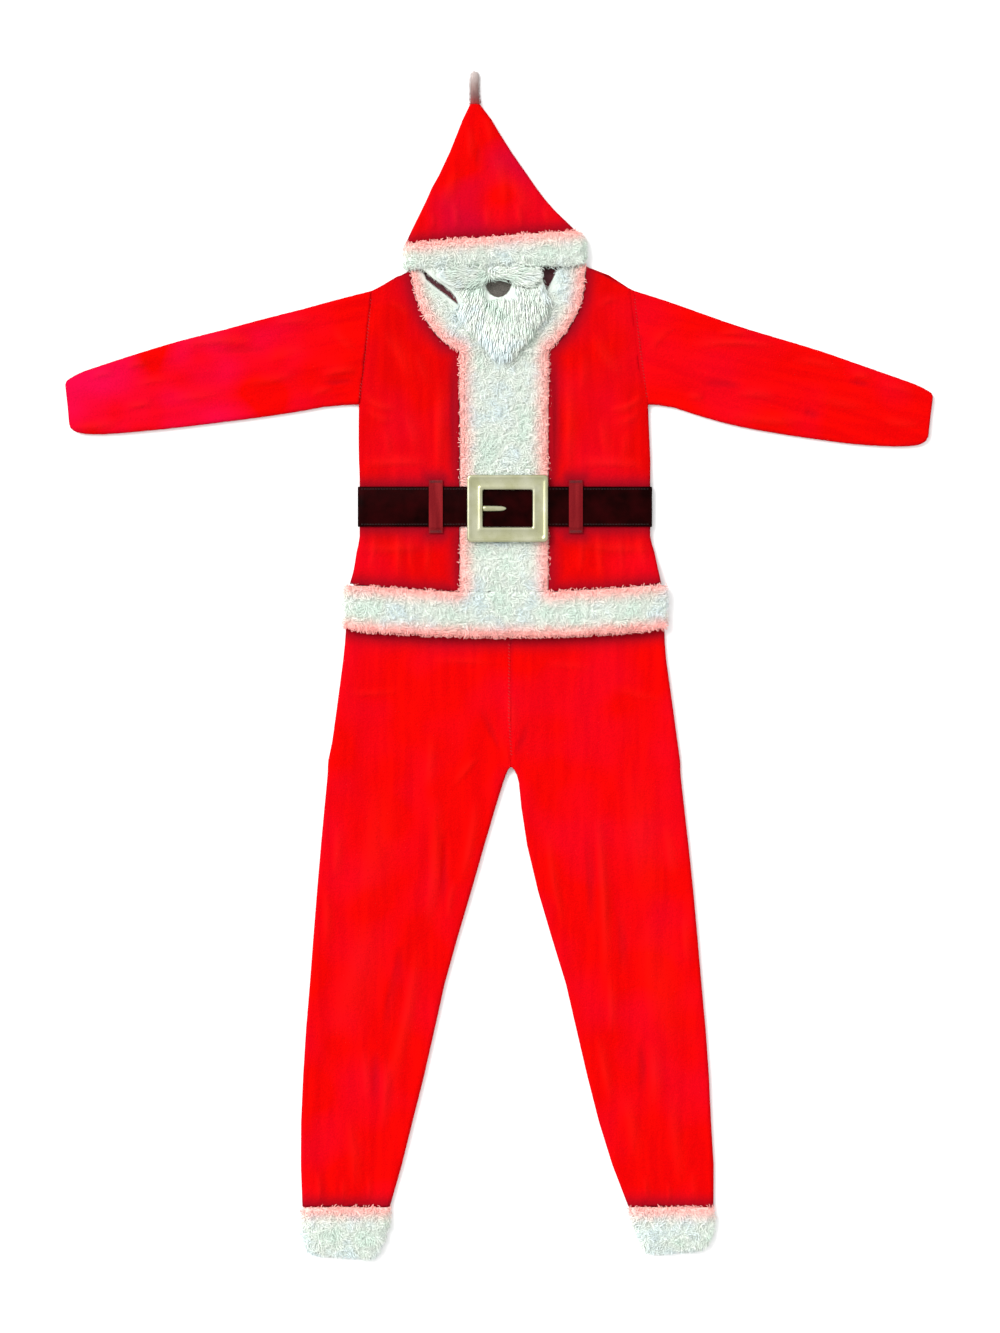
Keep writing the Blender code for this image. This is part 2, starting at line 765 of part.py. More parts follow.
LEFT_SLEEVE_CREASES = (
    Crease(-0.20, 0.36, 0.42, 0.70, 0.018, 0.0030),
    Crease(-0.10, 0.60, 0.70, 0.46, 0.013, 0.0026),
    Crease(0.22, 0.80, 0.30, 0.40, 0.013, 0.0022),
    Crease(0.45, 1.00, 0.64, 0.66, 0.012, 0.0022),
    Crease(0.62, 1.05, 0.34, 0.30, 0.010, 0.0018),
)
RIGHT_SLEEVE_CREASES = (
    Crease(-0.20, 0.40, 0.36, 0.62, 0.018, 0.0028),
    Crease(-0.05, 0.52, 0.74, 0.56, 0.014, 0.0024),
    Crease(0.28, 0.86, 0.34, 0.32, 0.013, 0.0026),
    Crease(0.50, 1.04, 0.60, 0.68, 0.012, 0.0020),
)


def make_sleeves(red):
    for side, table, creases in (
        ("left", LEFT_SLEEVE, LEFT_SLEEVE_CREASES),
        ("right", RIGHT_SLEEVE, RIGHT_SLEEVE_CREASES),
    ):
        away = -HALF_GAP if side == "left" else HALF_GAP
        rows = []
        for sleeve in along(table, SLEEVE_ROWS):
            rows.append(
                Row(
                    first=(sleeve.top_x + away, sleeve.top_y),
                    second=(sleeve.under_x + away, sleeve.under_y),
                    rolls=(1.0, 1.0),
                    edge=LAID_EDGE,
                    middle=LAID_MIDDLE,
                    base=0.0,
                )
            )
        whole_tube(f"sleeve_{side}", rows, (7, 2), red, creases)


# ---------------------------------------------------------------- white trims

ON_BACK = FLEECE + GAP
# The collar's run across the back of the neck: a place, and how much it is rounded there.
# Its lower and its upper edge lie this far below the hat's brim.
NECK_BACK = ((-0.080, 0.003), (-0.072, 0.0), (-0.010, 0.0), (0.038, 0.0), (0.046, 0.003))
NECK_BACK_HIGH = 0.0185
NECK_BACK_LOW = 0.0030
NECK_BACK_THICK = 0.0050
COLLAR_END_THICK = 0.0055


def over_back(x, y):
    """The top of the jacket's back layer, where the bands of the front lie on it."""
    return jacket_base(y) + ON_BACK


def make_collar(white):
    for side, neck in (("left", LEFT_NECK), ("right", RIGHT_NECK)):
        sign = -1.0 if side == "left" else 1.0
        points = along(neck, NECK_ROWS)
        stations = []
        for i, point in enumerate(points):
            thick = PLACKET_THICK if i else COLLAR_END_THICK
            stations.append(
                Station(
                    first=(point.outer_x - sign * HALF_GAP, point.outer_y + HALF_GAP),
                    second=(point.inner_x, point.inner_y + HALF_GAP),
                    under=over_back,
                    thick=thick,
                )
            )
        band(f"collar_{side}", stations, 3, white)
    back = []
    for x, inset in NECK_BACK:
        back.append(
            Station(
                first=(x, brim_bottom(x) - NECK_BACK_HIGH + inset),
                second=(x, brim_bottom(x) - NECK_BACK_LOW),
                under=over_back,
                thick=NECK_BACK_THICK,
            )
        )
    band("collar_back", back, 2, white)


HEM_BACK_THICK = 0.0042
HEM_FRONT_THICK = 0.0074
HEM_COLUMNS = 18
# The band stands a little proud of the jacket's sides, taken at this height.
HEM_SIDE_Y = 0.075
HEM_PROUD = 0.0020
# Towards its ends the band thins to this share of its thickness, and its corners round.
HEM_END = 0.0120
HEM_END_SHARE = 0.55
HEM_CORNER = 0.0025


def make_hem(white):
    sides = columns_of(JACKET_SIDES, "y")
    left = sides["left"](HEM_SIDE_Y) - HEM_PROUD
    right = sides["right"](HEM_SIDE_Y) + HEM_PROUD
    on_waist = HEM_LIFT
    on_hem = on_waist + HEM_BACK_THICK + GAP
    for name, under, thick, columns in (
        ("hem_band_back", on_waist, HEM_BACK_THICK, HEM_COLUMNS // 2),
        ("hem_band_front", on_hem, HEM_FRONT_THICK, HEM_COLUMNS),
    ):
        stations = []
        for i in range(columns + 1):
            share = i / columns
            x = mix(left, right, share)
            end = ease(min(share, 1.0 - share) * (right - left), 0.0, HEM_END)
            inset = mix(HEM_CORNER, 0.0, end)
            stations.append(
                Station(
                    first=(x, hem_top(x) - HALF_GAP - inset),
                    second=(x, hem_bottom(x) + inset),
                    under=level_at(under),
                    thick=mix(HEM_END_SHARE, 1.0, end) * thick,
                )
            )
        band(name, stations, 3, white)


def make_placket(white):
    stations = []
    heights = [PLACKET_TOP - HALF_GAP, *[body.middle_y for body in BODY_ROWS[:-1]]]
    heights.append(hem_seam(PLACKET_MIDDLE))
    for y in heights:
        stations.append(
            Station(
                first=(PLACKET_LEFT + HALF_GAP, y),
                second=(PLACKET_RIGHT - HALF_GAP, y),
                under=over_back,
                thick=mix(PLACKET_THICK, PLACKET_BELTED, belted(y)),
            )
        )
    band("placket", stations, 4, white, foot=hem_seam)


# ---------------------------------------------------------------- hat

# The hat's two side edges, from its point down to the brim.
HatRow = namedtuple("HatRow", "left_x left_y right_x right_y")
HAT = (
    HatRow(-0.0403, 0.7320, -0.0273, 0.7320),
    HatRow(-0.0520, 0.7072, -0.0091, 0.7072),
    HatRow(-0.0598, 0.6864, 0.0026, 0.6864),
    HatRow(-0.0780, 0.6448, 0.0312, 0.6448),
    HatRow(-0.0897, 0.6240, 0.0455, 0.6240),
    HatRow(-0.0988, 0.6032, 0.0600, 0.6050),
    HatRow(-0.1092, 0.5824, 0.0770, 0.5870),
    HatRow(-0.1200, 0.5600, 0.0925, 0.5725),
)
HAT_BASE = ((-0.1235, 0.5515), (0.0960, 0.5680))
HAT_CREASES = (
    Crease(0.10, 0.80, 0.52, 0.40, 0.013, 0.0022),
    Crease(0.36, 1.00, 0.66, 0.72, 0.014, 0.0026),
    Crease(0.50, 1.02, 0.26, 0.30, 0.014, 0.0018),
)
HAT_ROWS = 11
# The brim's edges, from its top to its bottom, with its height there.
BrimRow = namedtuple("BrimRow", "left_x left_y right_x right_y edge")
BRIM = (
    BrimRow(-0.1215, 0.5513, 0.0975, 0.5678, 0.0120),
    BrimRow(-0.1250, 0.5475, 0.1040, 0.5640, 0.0158),
    BrimRow(-0.1268, 0.5400, 0.1095, 0.5560, 0.0170),
    BrimRow(-0.1275, 0.5300, 0.1112, 0.5430, 0.0174),
    BrimRow(-0.1272, 0.5210, 0.1100, 0.5300, 0.0160),
    BrimRow(-0.1240, 0.5168, 0.1068, 0.5224, 0.0125),
)
# The turned tail on the hat's point: place, half width and thickness.
TailRow = namedtuple("TailRow", "x y half thick")
HAT_TAIL = (
    TailRow(-0.0338, 0.7323, 0.0062, 0.0072),
    TailRow(-0.0340, 0.7400, 0.0056, 0.0066),
    TailRow(-0.0344, 0.7500, 0.0052, 0.0060),
    TailRow(-0.0343, 0.7600, 0.0054, 0.0060),
    TailRow(-0.0340, 0.7700, 0.0050, 0.0056),
    TailRow(-0.0338, 0.7745, 0.0034, 0.0044),
)
TAIL_ROUND = 0.0045


def make_hat(red, white, tail):
    rows = []
    table = HAT + (HatRow(*HAT_BASE[0], *HAT_BASE[1]),)
    for hat in along(table, HAT_ROWS):
        rows.append(
            Row(
                first=(hat.left_x, hat.left_y),
                second=(hat.right_x, hat.right_y),
                rolls=(1.0, 1.0),
                edge=LAID_EDGE,
                middle=LAID_MIDDLE,
                base=0.0,
            )
        )
    half_tube("hat_front", rows, True, 7, red, HAT_CREASES)
    half_tube("hat_back", rows, False, 2, red)
    rows = []
    for brim in BRIM:
        rows.append(
            Row(
                first=(brim.left_x, brim.left_y),
                second=(brim.right_x, brim.right_y),
                rolls=(1.0, 1.0),
                edge=brim.edge,
                middle=brim.edge,
                base=0.0,
            )
        )
    whole_tube("hat_brim", rows, (10, 2), white, plush=True)
    stations = []
    for row in HAT_TAIL:
        stations.append(
            Station(
                first=(row.x - row.half, row.y),
                second=(row.x + row.half, row.y),
                under=level_at(0.0),
                thick=row.thick,
            )
        )
    band("hat_tip", stations, 2, tail, rounding=TAIL_ROUND)


# ---------------------------------------------------------------- beard

BEARD_UNDER = ON_BACK + PLACKET_THICK + GAP
BEARD_THICK = 0.0066
BEARD_LIP = 0.0046
FELT_THICK = 0.0012
FELT_ROUND = 0.0010
# The beard's two sides, from under the hat down to its tip.
BeardRow = namedtuple("BeardRow", "y left right")
BEARD = (
    BeardRow(0.5170, -0.1020, 0.0505),
    BeardRow(0.5044, -0.0870, 0.0535),
    BeardRow(0.4940, -0.0715, 0.0580),
    BeardRow(0.4836, -0.0605, 0.0605),
    BeardRow(0.4758, -0.0565, 0.0600),
    BeardRow(0.4654, -0.0530, 0.0570),
    BeardRow(0.4524, -0.0465, 0.0490),
    BeardRow(0.4394, -0.0375, 0.0400),
    BeardRow(0.4264, -0.0255, 0.0295),
    BeardRow(0.4134, -0.0130, 0.0185),
    BeardRow(0.4030, -0.0020, 0.0085),
)
BEARD_HEIGHTS = (
    0.5165,
    0.5100,
    0.5040,
    0.4970,
    0.4890,
    0.4810,
    0.4720,
    0.4620,
    0.4520,
    0.4420,
    0.4320,
    0.4220,
    0.4120,
    0.4030,
)
BEARD_COLUMNS = 12
# Locks of the beard: soft furrows that run down to the tip, as shares of its width.
BEARD_FURROWS = (0.16, 0.30, 0.44, 0.57, 0.71, 0.85)
FURROW_DEPTH = 0.0012
FURROW_WIDTH = 0.0045
FURROW_TOP = 0.4850
FURROW_FULL = 0.4650
# The beard thins under the moustache, and to these shares at its sides and at its tip.
FULL_BELOW = 0.4750
THIN_ABOVE = 0.4900
BEARD_SIDE_SHARE = 0.45
BEARD_SIDE_ROUND = 0.0090
BEARD_TIP_SHARE = 0.50
BEARD_TIP_ROUND = 0.0100
# The mouth opening: straight on top, with a round lower lip.
MOUTH_LEFT = -0.0208
MOUTH_RIGHT = 0.0143
MOUTH_TOP = 0.5040
MOUTH_LOW = 0.4810
MOUTH_STEPS = 10
# The felt behind it, sewn to the beard's wrong side: a place, and how much the felt's
# corners are cut there. The margin is how far it reaches past the opening.
FELT_MARGIN = 0.0050
MOUTH_FELT = ((-0.030, 0.004), (-0.024, 0.0), (-0.003, 0.0), (0.018, 0.0), (0.024, 0.004))
# The moustache along its length: its upper and lower edge and its height.
LipRow = namedtuple("LipRow", "x top low thick")
MOUSTACHE = (
    LipRow(-0.0840, 0.5110, 0.5060, 0.0015),
    LipRow(-0.0760, 0.5155, 0.4990, 0.0038),
    LipRow(-0.0600, 0.5170, 0.4925, 0.0052),
    LipRow(-0.0420, 0.5175, 0.4915, 0.0056),
    LipRow(-0.0270, 0.5178, 0.4960, 0.0052),
    LipRow(-0.0150, 0.5170, 0.5030, 0.0038),
    LipRow(-0.0030, 0.5150, 0.5052, 0.0022),
    LipRow(0.0080, 0.5176, 0.5025, 0.0038),
    LipRow(0.0200, 0.5188, 0.4960, 0.0052),
    LipRow(0.0330, 0.5192, 0.4920, 0.0054),
    LipRow(0.0430, 0.5185, 0.4945, 0.0042),
    LipRow(0.0500, 0.5140, 0.5040, 0.0015),
)
MOUSTACHE_ROWS = 15
MOUSTACHE_ROUND = 0.0050


def beard_thickness(share, width, y):
    """The beard's thickness at a share of its width, and at a height."""
    thick = mix(BEARD_LIP, BEARD_THICK, ease(y, THIN_ABOVE, FULL_BELOW))
    near = min(abs(share - furrow) for furrow in BEARD_FURROWS) * width
    furrow = FURROW_DEPTH * math.exp(-((near / FURROW_WIDTH) ** 2))
    thick -= furrow * ease(y, FURROW_TOP, FURROW_FULL)
    side = ease(min(share, 1.0 - share) * width, 0.0, BEARD_SIDE_ROUND)
    tip = ease(y - BEARD[-1].y, 0.0, BEARD_TIP_ROUND)
    return thick * mix(BEARD_SIDE_SHARE, 1.0, side) * mix(BEARD_TIP_SHARE, 1.0, tip)


def make_beard(white, felt):
    curves = columns_of(BEARD, "y")
    top = []
    under = []
    for y in BEARD_HEIGHTS:
        left = curves["left"](y)
        right = curves["right"](y)
        top_row = []
        under_row = []
        for column in range(BEARD_COLUMNS + 1):
            share = column / BEARD_COLUMNS
            x = mix(left, right, share)
            place_y = brim_bottom(x) - GAP if y == BEARD_HEIGHTS[0] else y
            thick = beard_thickness(share, right - left, y)
            top_row.append((x, place_y, BEARD_UNDER + thick))
            under_row.append((x, place_y, BEARD_UNDER))
        top.append(top_row)
        under.append(under_row)
    beard = wall("beard", top, under, white)
    cut_mouth(beard, white)

    stations = []
    for x, inset in MOUTH_FELT:
        stations.append(
            Station(
                first=(x, MOUTH_LOW - FELT_MARGIN + inset),
                second=(x, MOUTH_TOP + FELT_MARGIN - inset),
                under=level_at(BEARD_UNDER - GAP - FELT_THICK),
                thick=FELT_THICK,
            )
        )
    band("mouth_backing", stations, 2, felt, rounding=FELT_ROUND)


def cut_mouth(beard, white):
    """Cuts the mouth opening with an upright prism."""
    centre = (MOUTH_LEFT + MOUTH_RIGHT) / 2
    half = (MOUTH_RIGHT - MOUTH_LEFT) / 2
    outline = []
    for step in range(MOUTH_STEPS + 1):
        turn = math.pi * step / MOUTH_STEPS
        x = centre - half * math.cos(turn)
        y = MOUTH_TOP - (MOUTH_TOP - MOUTH_LOW) * math.sin(turn)
        outline.append((x, y))
    mesh = bmesh.new()
    low = [mesh.verts.new((x, y, BEARD_UNDER - BEARD_THICK)) for x, y in outline]
    high = [mesh.verts.new((x, y, BEARD_UNDER + 2 * BEARD_THICK)) for x, y in outline]
    mesh.faces.new(low)
    mesh.faces.new(high)
    for i in range(len(outline)):
        k = (i + 1) % len(outline)
        mesh.faces.new((low[i], low[k], high[k], high[i]))
    cutter = add_object("mouth_cutter", mesh, white)
    cutter.hide_render = True
    cutter.display_type = "WIRE"
    cut = beard.modifiers.new("mouth", "BOOLEAN")
    cut.operation = "DIFFERENCE"
    cut.object = cutter


def make_moustache(white):
    stations = []
    for row in along(MOUSTACHE, MOUSTACHE_ROWS):
        stations.append(
            Station(
                first=(row.x, min(row.top, brim_bottom(row.x) - GAP)),
                second=(row.x, row.low),
                under=level_at(BEARD_UNDER + BEARD_LIP + GAP),
                thick=row.thick,
            )
        )
    band("moustache", stations, 2, white, rounding=MOUSTACHE_ROUND)


# ---------------------------------------------------------------- belt and buckle

FRONT_TOP = BELT_LIFT + BELT_TUBE
PLACKET_BELT_TOP = BELT_LIFT + ON_BACK + PLACKET_BELTED
# The belt climbs from the jacket onto the front band outside the band's edge, and
# is up this far inside it.
RAMP_OUT = 0.0060
RAMP_IN = 0.0020


def belt_under(x):
    """The underside of the belt's front run: it climbs over the front band."""
    left = ease(x, PLACKET_LEFT - RAMP_OUT, PLACKET_LEFT + RAMP_IN)
    right = ease(x, PLACKET_RIGHT + RAMP_OUT, PLACKET_RIGHT - RAMP_IN)
    return mix(FRONT_TOP, PLACKET_BELT_TOP, left * right) + GAP


def belt_loop_points(out):
    """One turn of the belt round the jacket, at a distance out from the jacket's cloth."""
    sides = columns_of(JACKET_SIDES, "y")
    left = sides["left"](BELT_LOW)
    right = sides["right"](BELT_LOW)
    centre = BELT_LIFT + BELT_TUBE / 2
    high = BELT_TUBE / 2 + out
    wide = ROLL + out
    turns = [-math.pi / 2 * (1 - step / LOWER_STEPS) for step in range(LOWER_STEPS)]
    turns += [math.pi / 2 * step / UPPER_STEPS for step in range(UPPER_STEPS + 1)]
    points = []
    for turn in turns:
        points.append((left + ROLL - wide * math.cos(turn), centre + high * math.sin(turn)))
    stops = [PLACKET_LEFT - RAMP_OUT, PLACKET_LEFT - RAMP_IN, PLACKET_LEFT + RAMP_IN]
    stops += [PLACKET_RIGHT - RAMP_IN, PLACKET_RIGHT + RAMP_IN, PLACKET_RIGHT + RAMP_OUT]
    for x in stops:
        points.append((x, belt_under(x) - GAP + out))
    for turn in reversed(turns):
        points.append((right - ROLL + wide * math.cos(turn), centre + high * math.sin(turn)))
    return points


def make_belt(black):
    inner_loop = belt_loop_points(GAP)
    outer_loop = belt_loop_points(BELT_THICK + GAP)
    inner = [[(x, y, z) for x, z in inner_loop] for y in (BELT_LOW, BELT_HIGH)]
    outer = [[(x, y, z) for x, z in outer_loop] for y in (BELT_LOW, BELT_HIGH)]
    wall("belt", outer, inner, black, closed=True)


def make_belt_loops(dark_red):
    """Each loop is a strip sewn to the jacket above and below the belt."""
    on_cloth = FRONT_TOP + GAP
    on_belt = FRONT_TOP + GAP + BELT_THICK + GAP
    line = (
        (BELT_LOW - LOOP_REACH, on_cloth),
        (BELT_LOW - LOOP_FOOT, on_cloth),
        (BELT_LOW - HALF_GAP - LOOP_STEP, on_belt - LOOP_DROP),
        (BELT_LOW - HALF_GAP, on_belt),
        (BELT_HIGH + HALF_GAP, on_belt),
        (BELT_HIGH + HALF_GAP + LOOP_STEP, on_belt - LOOP_DROP),
        (BELT_HIGH + LOOP_FOOT, on_cloth),
        (BELT_HIGH + LOOP_REACH, on_cloth),
    )
    for side, centre in LOOP_CENTRES.items():
        under = []
        top = []
        for y, z in line:
            edges = (centre - LOOP_WIDTH / 2, centre, centre + LOOP_WIDTH / 2)
            under.append([(x, y, z) for x in edges])
            top.append([(x, y, z + LOOP_THICK) for x in edges])
        wall(f"belt_loop_{side}", top, under, dark_red)


# The prong from the frame's bar to its tip: place, half width and thickness.
ProngRow = namedtuple("ProngRow", "along half thick")
PRONG = (
    ProngRow(0.0, 0.00375, 0.0035),
    ProngRow(0.0090, 0.00375, 0.0032),
    ProngRow(0.0225, 0.0033, 0.0026),
    ProngRow(0.0280, 0.0025, 0.0021),
    ProngRow(0.0300, 0.0013, 0.0015),
)
PRONG_ROUND = 0.0024


def rounded_rectangle(size, corner, height):
    """Points round a rectangle with rounded corners, three to a corner."""
    x0, y0 = BUCKLE_CENTRE
    points = []
    for quarter, (sx, sy) in enumerate(((1, 1), (-1, 1), (-1, -1), (1, -1))):
        for step in range(3):
            turn = math.pi / 2 * (quarter + step / 2)
            x = x0 + sx * (size[0] / 2 - corner) + corner * math.cos(turn)
            y = y0 + sy * (size[1] / 2 - corner) + corner * math.sin(turn)
            points.append((x, y, height))
    return points


def make_buckle(gold):
    """A flat frame with bevelled rims on the belt, and its prong inside it."""
    low = PLACKET_BELT_TOP + GAP + BELT_THICK + GAP
    high = low + BUCKLE_THICK
    bevel = BUCKLE_BEVEL
    wide, tall = BUCKLE_SIZE
    open_wide, open_tall = BUCKLE_OPENING
    rim = (wide - 2 * bevel, tall - 2 * bevel)
    open_rim = (open_wide + 2 * bevel, open_tall + 2 * bevel)
    outer = [
        rounded_rectangle(BUCKLE_SIZE, BUCKLE_CORNER, low),
        rounded_rectangle(BUCKLE_SIZE, BUCKLE_CORNER, high - bevel),
        rounded_rectangle(rim, BUCKLE_CORNER - bevel, high),
    ]
    inner = [
        rounded_rectangle(BUCKLE_OPENING, OPENING_CORNER, low),
        rounded_rectangle(BUCKLE_OPENING, OPENING_CORNER, high - bevel),
        rounded_rectangle(open_rim, OPENING_CORNER + bevel, high),
    ]
    wall("buckle_frame", outer, inner, gold, closed=True)

    start = BUCKLE_CENTRE[0] - open_wide / 2 + GAP
    stations = []
    for row in PRONG:
        stations.append(
            Station(
                first=(start + row.along, BUCKLE_CENTRE[1] - row.half),
                second=(start + row.along, BUCKLE_CENTRE[1] + row.half),
                under=level_at(low),
                thick=row.thick,
            )
        )
    band("buckle_prong", stations, 2, gold, rounding=PRONG_ROUND)


# ---------------------------------------------------------------- the suit


def main():
    clear_scene()
    red = finish("red_fleece", RED, 0.9)
    dark_red = finish("dark_red_fleece", DARK_RED, 0.9)
    white = finish("white_plush", WHITE, 0.95)
    black = finish("black_belt", BLACK, 0.5)
    gold = finish("pale_gold", GOLD, 0.35, metallic=0.6)
    felt = finish("grey_felt", GREY_FELT, 0.95)
    tail = finish("tail_cloth", TAIL_GREY, 0.9)
    make_trousers(red)
    make_cuffs(white)
    make_jacket_back(red)
    make_jacket_fronts(red)
    make_sleeves(red)
    make_collar(white)
    make_hem(white)
    make_placket(white)
    make_hat(red, white, tail)
    make_beard(white, felt)
    make_moustache(white)
    make_belt(black)
    make_belt_loops(dark_red)
    make_buckle(gold)


main()
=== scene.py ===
import math
from collections import namedtuple

import bmesh
import bpy
import numpy as np
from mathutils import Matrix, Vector, noise
from mathutils.bvhtree import BVHTree
from mathutils.kdtree import KDTree


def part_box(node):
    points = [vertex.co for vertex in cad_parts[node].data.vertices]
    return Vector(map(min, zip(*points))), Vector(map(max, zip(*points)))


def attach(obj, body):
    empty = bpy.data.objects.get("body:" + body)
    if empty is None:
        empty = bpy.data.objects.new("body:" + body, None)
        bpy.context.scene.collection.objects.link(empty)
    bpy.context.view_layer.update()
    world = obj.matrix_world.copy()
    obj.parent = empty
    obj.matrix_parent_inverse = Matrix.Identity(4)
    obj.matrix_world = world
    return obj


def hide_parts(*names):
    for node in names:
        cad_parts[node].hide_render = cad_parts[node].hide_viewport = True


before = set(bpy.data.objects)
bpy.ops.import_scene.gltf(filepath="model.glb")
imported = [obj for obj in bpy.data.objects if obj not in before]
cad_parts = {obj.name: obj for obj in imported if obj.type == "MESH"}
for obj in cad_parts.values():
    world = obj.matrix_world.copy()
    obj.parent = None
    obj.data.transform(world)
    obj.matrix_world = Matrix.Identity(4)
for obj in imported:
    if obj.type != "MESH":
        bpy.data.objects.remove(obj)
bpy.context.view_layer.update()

# ------------------------------------------------------------------ trousers
# Two legs of red brushed polyester fleece, each cut as a front and a back. They are sewn
# down the sides, the inside legs and the middle, and lie pressed flat, front on back.

MM = 0.001


def colour(code):
    """An sRGB hex colour as linear red, green and blue, with alpha."""
    linear = []
    for at in (0, 2, 4):
        part = int(code[at : at + 2], 16) / 255
        linear.append(part / 12.92 if part <= 0.04045 else ((part + 0.055) / 1.055) ** 2.4)
    return (*linear, 1.0)


def feed(node, inputs):
    """Sets inputs of a node, each to a value or to what feeds it: a socket, or the first
    output of a node. Where inputs share a name they go by number, so a colour Mix mixes 6
    with 7, by 0, into its output 2.
    """
    for key, value in inputs.items():
        if isinstance(value, bpy.types.Node):
            value = value.outputs[0]
        if isinstance(value, bpy.types.NodeSocket):
            node.id_data.links.new(value, node.inputs[key])
        else:
            node.inputs[key].default_value = value


def add(tree, kind, inputs=(), stops=(), **settings):
    """Adds a node with its settings, its inputs and, on a ramp, its places and colours."""
    made = tree.nodes.new(kind)
    for name, value in settings.items():
        setattr(made, name, value)
    for at, (place, code) in enumerate(stops):
        elements = made.color_ramp.elements
        stop = elements[at] if at < len(elements) else elements.new(place)
        stop.position = place
        stop.color = colour(code)
    feed(made, dict(inputs))
    return made


def new_finish(name, **numbers):
    """A material with its Principled shader's plain numbers set."""
    material = bpy.data.materials.new(name)
    material.use_nodes = True
    shader = material.node_tree.nodes["Principled BSDF"]
    feed(shader, {key.replace("_", " "): value for key, value in numbers.items()})
    return material, material.node_tree, shader


# The last two colours of a dye are its painted highlight on fold tops and its painted shade.
Dye = namedtuple("Dye", "low high crimson open_nap parted")
RED = Dye("C60203", "D20402", "C60420", "E4241A", "640A1A")


def brushed_fleece(name, dye=RED, turn=0.0, crimson=0.35, from_x=3.0, to_x=2.0):
    """Brushed polyester fleece: matt and bright, with a short nap that shades in soft streaks
    along its grain. turn is the grain's way, and crimson how far the dye has drifted, more so
    from from_x to to_x.
    """
    material, tree, shader = new_finish(
        name, Roughness=0.9, IOR=1.46, Sheen_Weight=0.04, Sheen_Roughness=0.5,
        Sheen_Tint=colour("FF2818"), Specular_IOR_Level=0.015,
    )
    place = add(tree, "ShaderNodeTexCoord").outputs["Object"]
    turned = add(tree, "ShaderNodeMapping", {"Vector": place, "Rotation": (0, 0, turn)})
    # Brushing leaves streaks about 11 mm wide and eight times as long.
    stretched = add(tree, "ShaderNodeMapping", {"Vector": turned, "Scale": (1.0, 0.12, 1.0)})
    streaks = add(
        tree, "ShaderNodeTexNoise", {"Vector": stretched, "Scale": 1 / (11 * MM), "Detail": 2.0}
    )
    shade = add(
        tree, "ShaderNodeValToRGB", {"Fac": streaks}, stops=((0.36, dye.low), (0.70, dye.high))
    )
    drift = add(
        tree, "ShaderNodeTexNoise", {"Vector": place, "Scale": 1 / (85 * MM), "Detail": 1.0}
    )
    amount = add(
        tree, "ShaderNodeMapRange", {"Value": drift, 1: 0.42, 2: 0.68, 3: 0.0, 4: crimson}
    )
    across = add(tree, "ShaderNodeSeparateXYZ", {"Vector": place}).outputs["X"]
    reach = add(tree, "ShaderNodeMapRange", {"Value": across, 1: from_x, 2: to_x, 3: 0.0, 4: 1.0})
    patches = add(tree, "ShaderNodeMath", {0: amount, 1: reach}, operation="MULTIPLY")
    mixed = add(
        tree, "ShaderNodeMix", {0: patches, 6: shade, 7: colour(dye.crimson)}, data_type="RGBA"
    )
    # Painted highlight along the top of a fold, and painted deep red shade on rolled edges, at
    # seams, in troughs and beside the trims. Inside the garment, where it shows through the neck,
    # the painted shade is brown.
    for layer, code in (
        ("open_nap", dye.open_nap), ("painted_shade", dye.parted), ("inside_shade", "46383C"),
    ):
        share = add(tree, "ShaderNodeAttribute", attribute_name=layer).outputs["Fac"]
        mixed = add(
            tree, "ShaderNodeMix", {0: share, 6: mixed.outputs[2], 7: colour(code)},
            data_type="RGBA",
        )
    # The nap's own tufts, drawn 1.6 mm wide where real ones are about 0.5 mm, and pills.
    nap = add(
        tree, "ShaderNodeTexNoise",
        {"Vector": place, "Scale": 1 / (1.6 * MM), "Detail": 5.0, "Roughness": 0.65},
    )
    pills = add(
        tree, "ShaderNodeTexNoise", {"Vector": place, "Scale": 1 / (5 * MM), "Detail": 2.0}
    )
    low = add(tree, "ShaderNodeBump", {"Strength": 0.5, "Distance": 1.2 * MM, "Height": pills})
    fine = add(
        tree, "ShaderNodeBump",
        {"Strength": 0.9, "Distance": 0.8 * MM, "Height": nap, "Normal": low},
    )
    # Between the tufts the pile gets a little painted shade.
    tuft_gap_shade = add(tree, "ShaderNodeMapRange", {"Value": nap, 1: 0.32, 2: 0.60, 3: 0.84, 4: 1.03})
    tuft_shaded = add(tree, "ShaderNodeHueSaturation", {"Color": mixed.outputs[2], "Value": tuft_gap_shade})
    feed(shader, {"Base Color": tuft_shaded, "Normal": fine})
    return material


def welded(node):
    """A copy of a node's form with its loose triangles joined."""
    mesh = bmesh.new()
    mesh.from_mesh(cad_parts[node].data)
    bmesh.ops.remove_doubles(mesh, verts=mesh.verts, dist=0.01 * MM)
    return mesh


def search_tree(meshes):
    """One search tree of the faces of several meshes."""
    points, faces = [], []
    for data in meshes:
        start = len(points)
        points += [vertex.co.copy() for vertex in data.vertices]
        faces += [[start + at for at in face.vertices] for face in data.polygons]
    return BVHTree.FromPolygons(points, faces)


def tree_of(nodes):
    """One search tree of the forms of several nodes."""
    return search_tree(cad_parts[node].data for node in nodes)


everything = tree_of(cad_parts)
# How near a neighbour hides a face that stands, one that slopes and one that lies level, and
# the upward part of its normal from which a face counts as the second and as the third.
COVER, BESIDE, ABOVE = 0.7 * MM, 2.5 * MM, 6 * MM
SLOPING, LEVEL = 0.5, 0.97
# A face may lean this far away from the side that is seen.
LEAN = -0.15


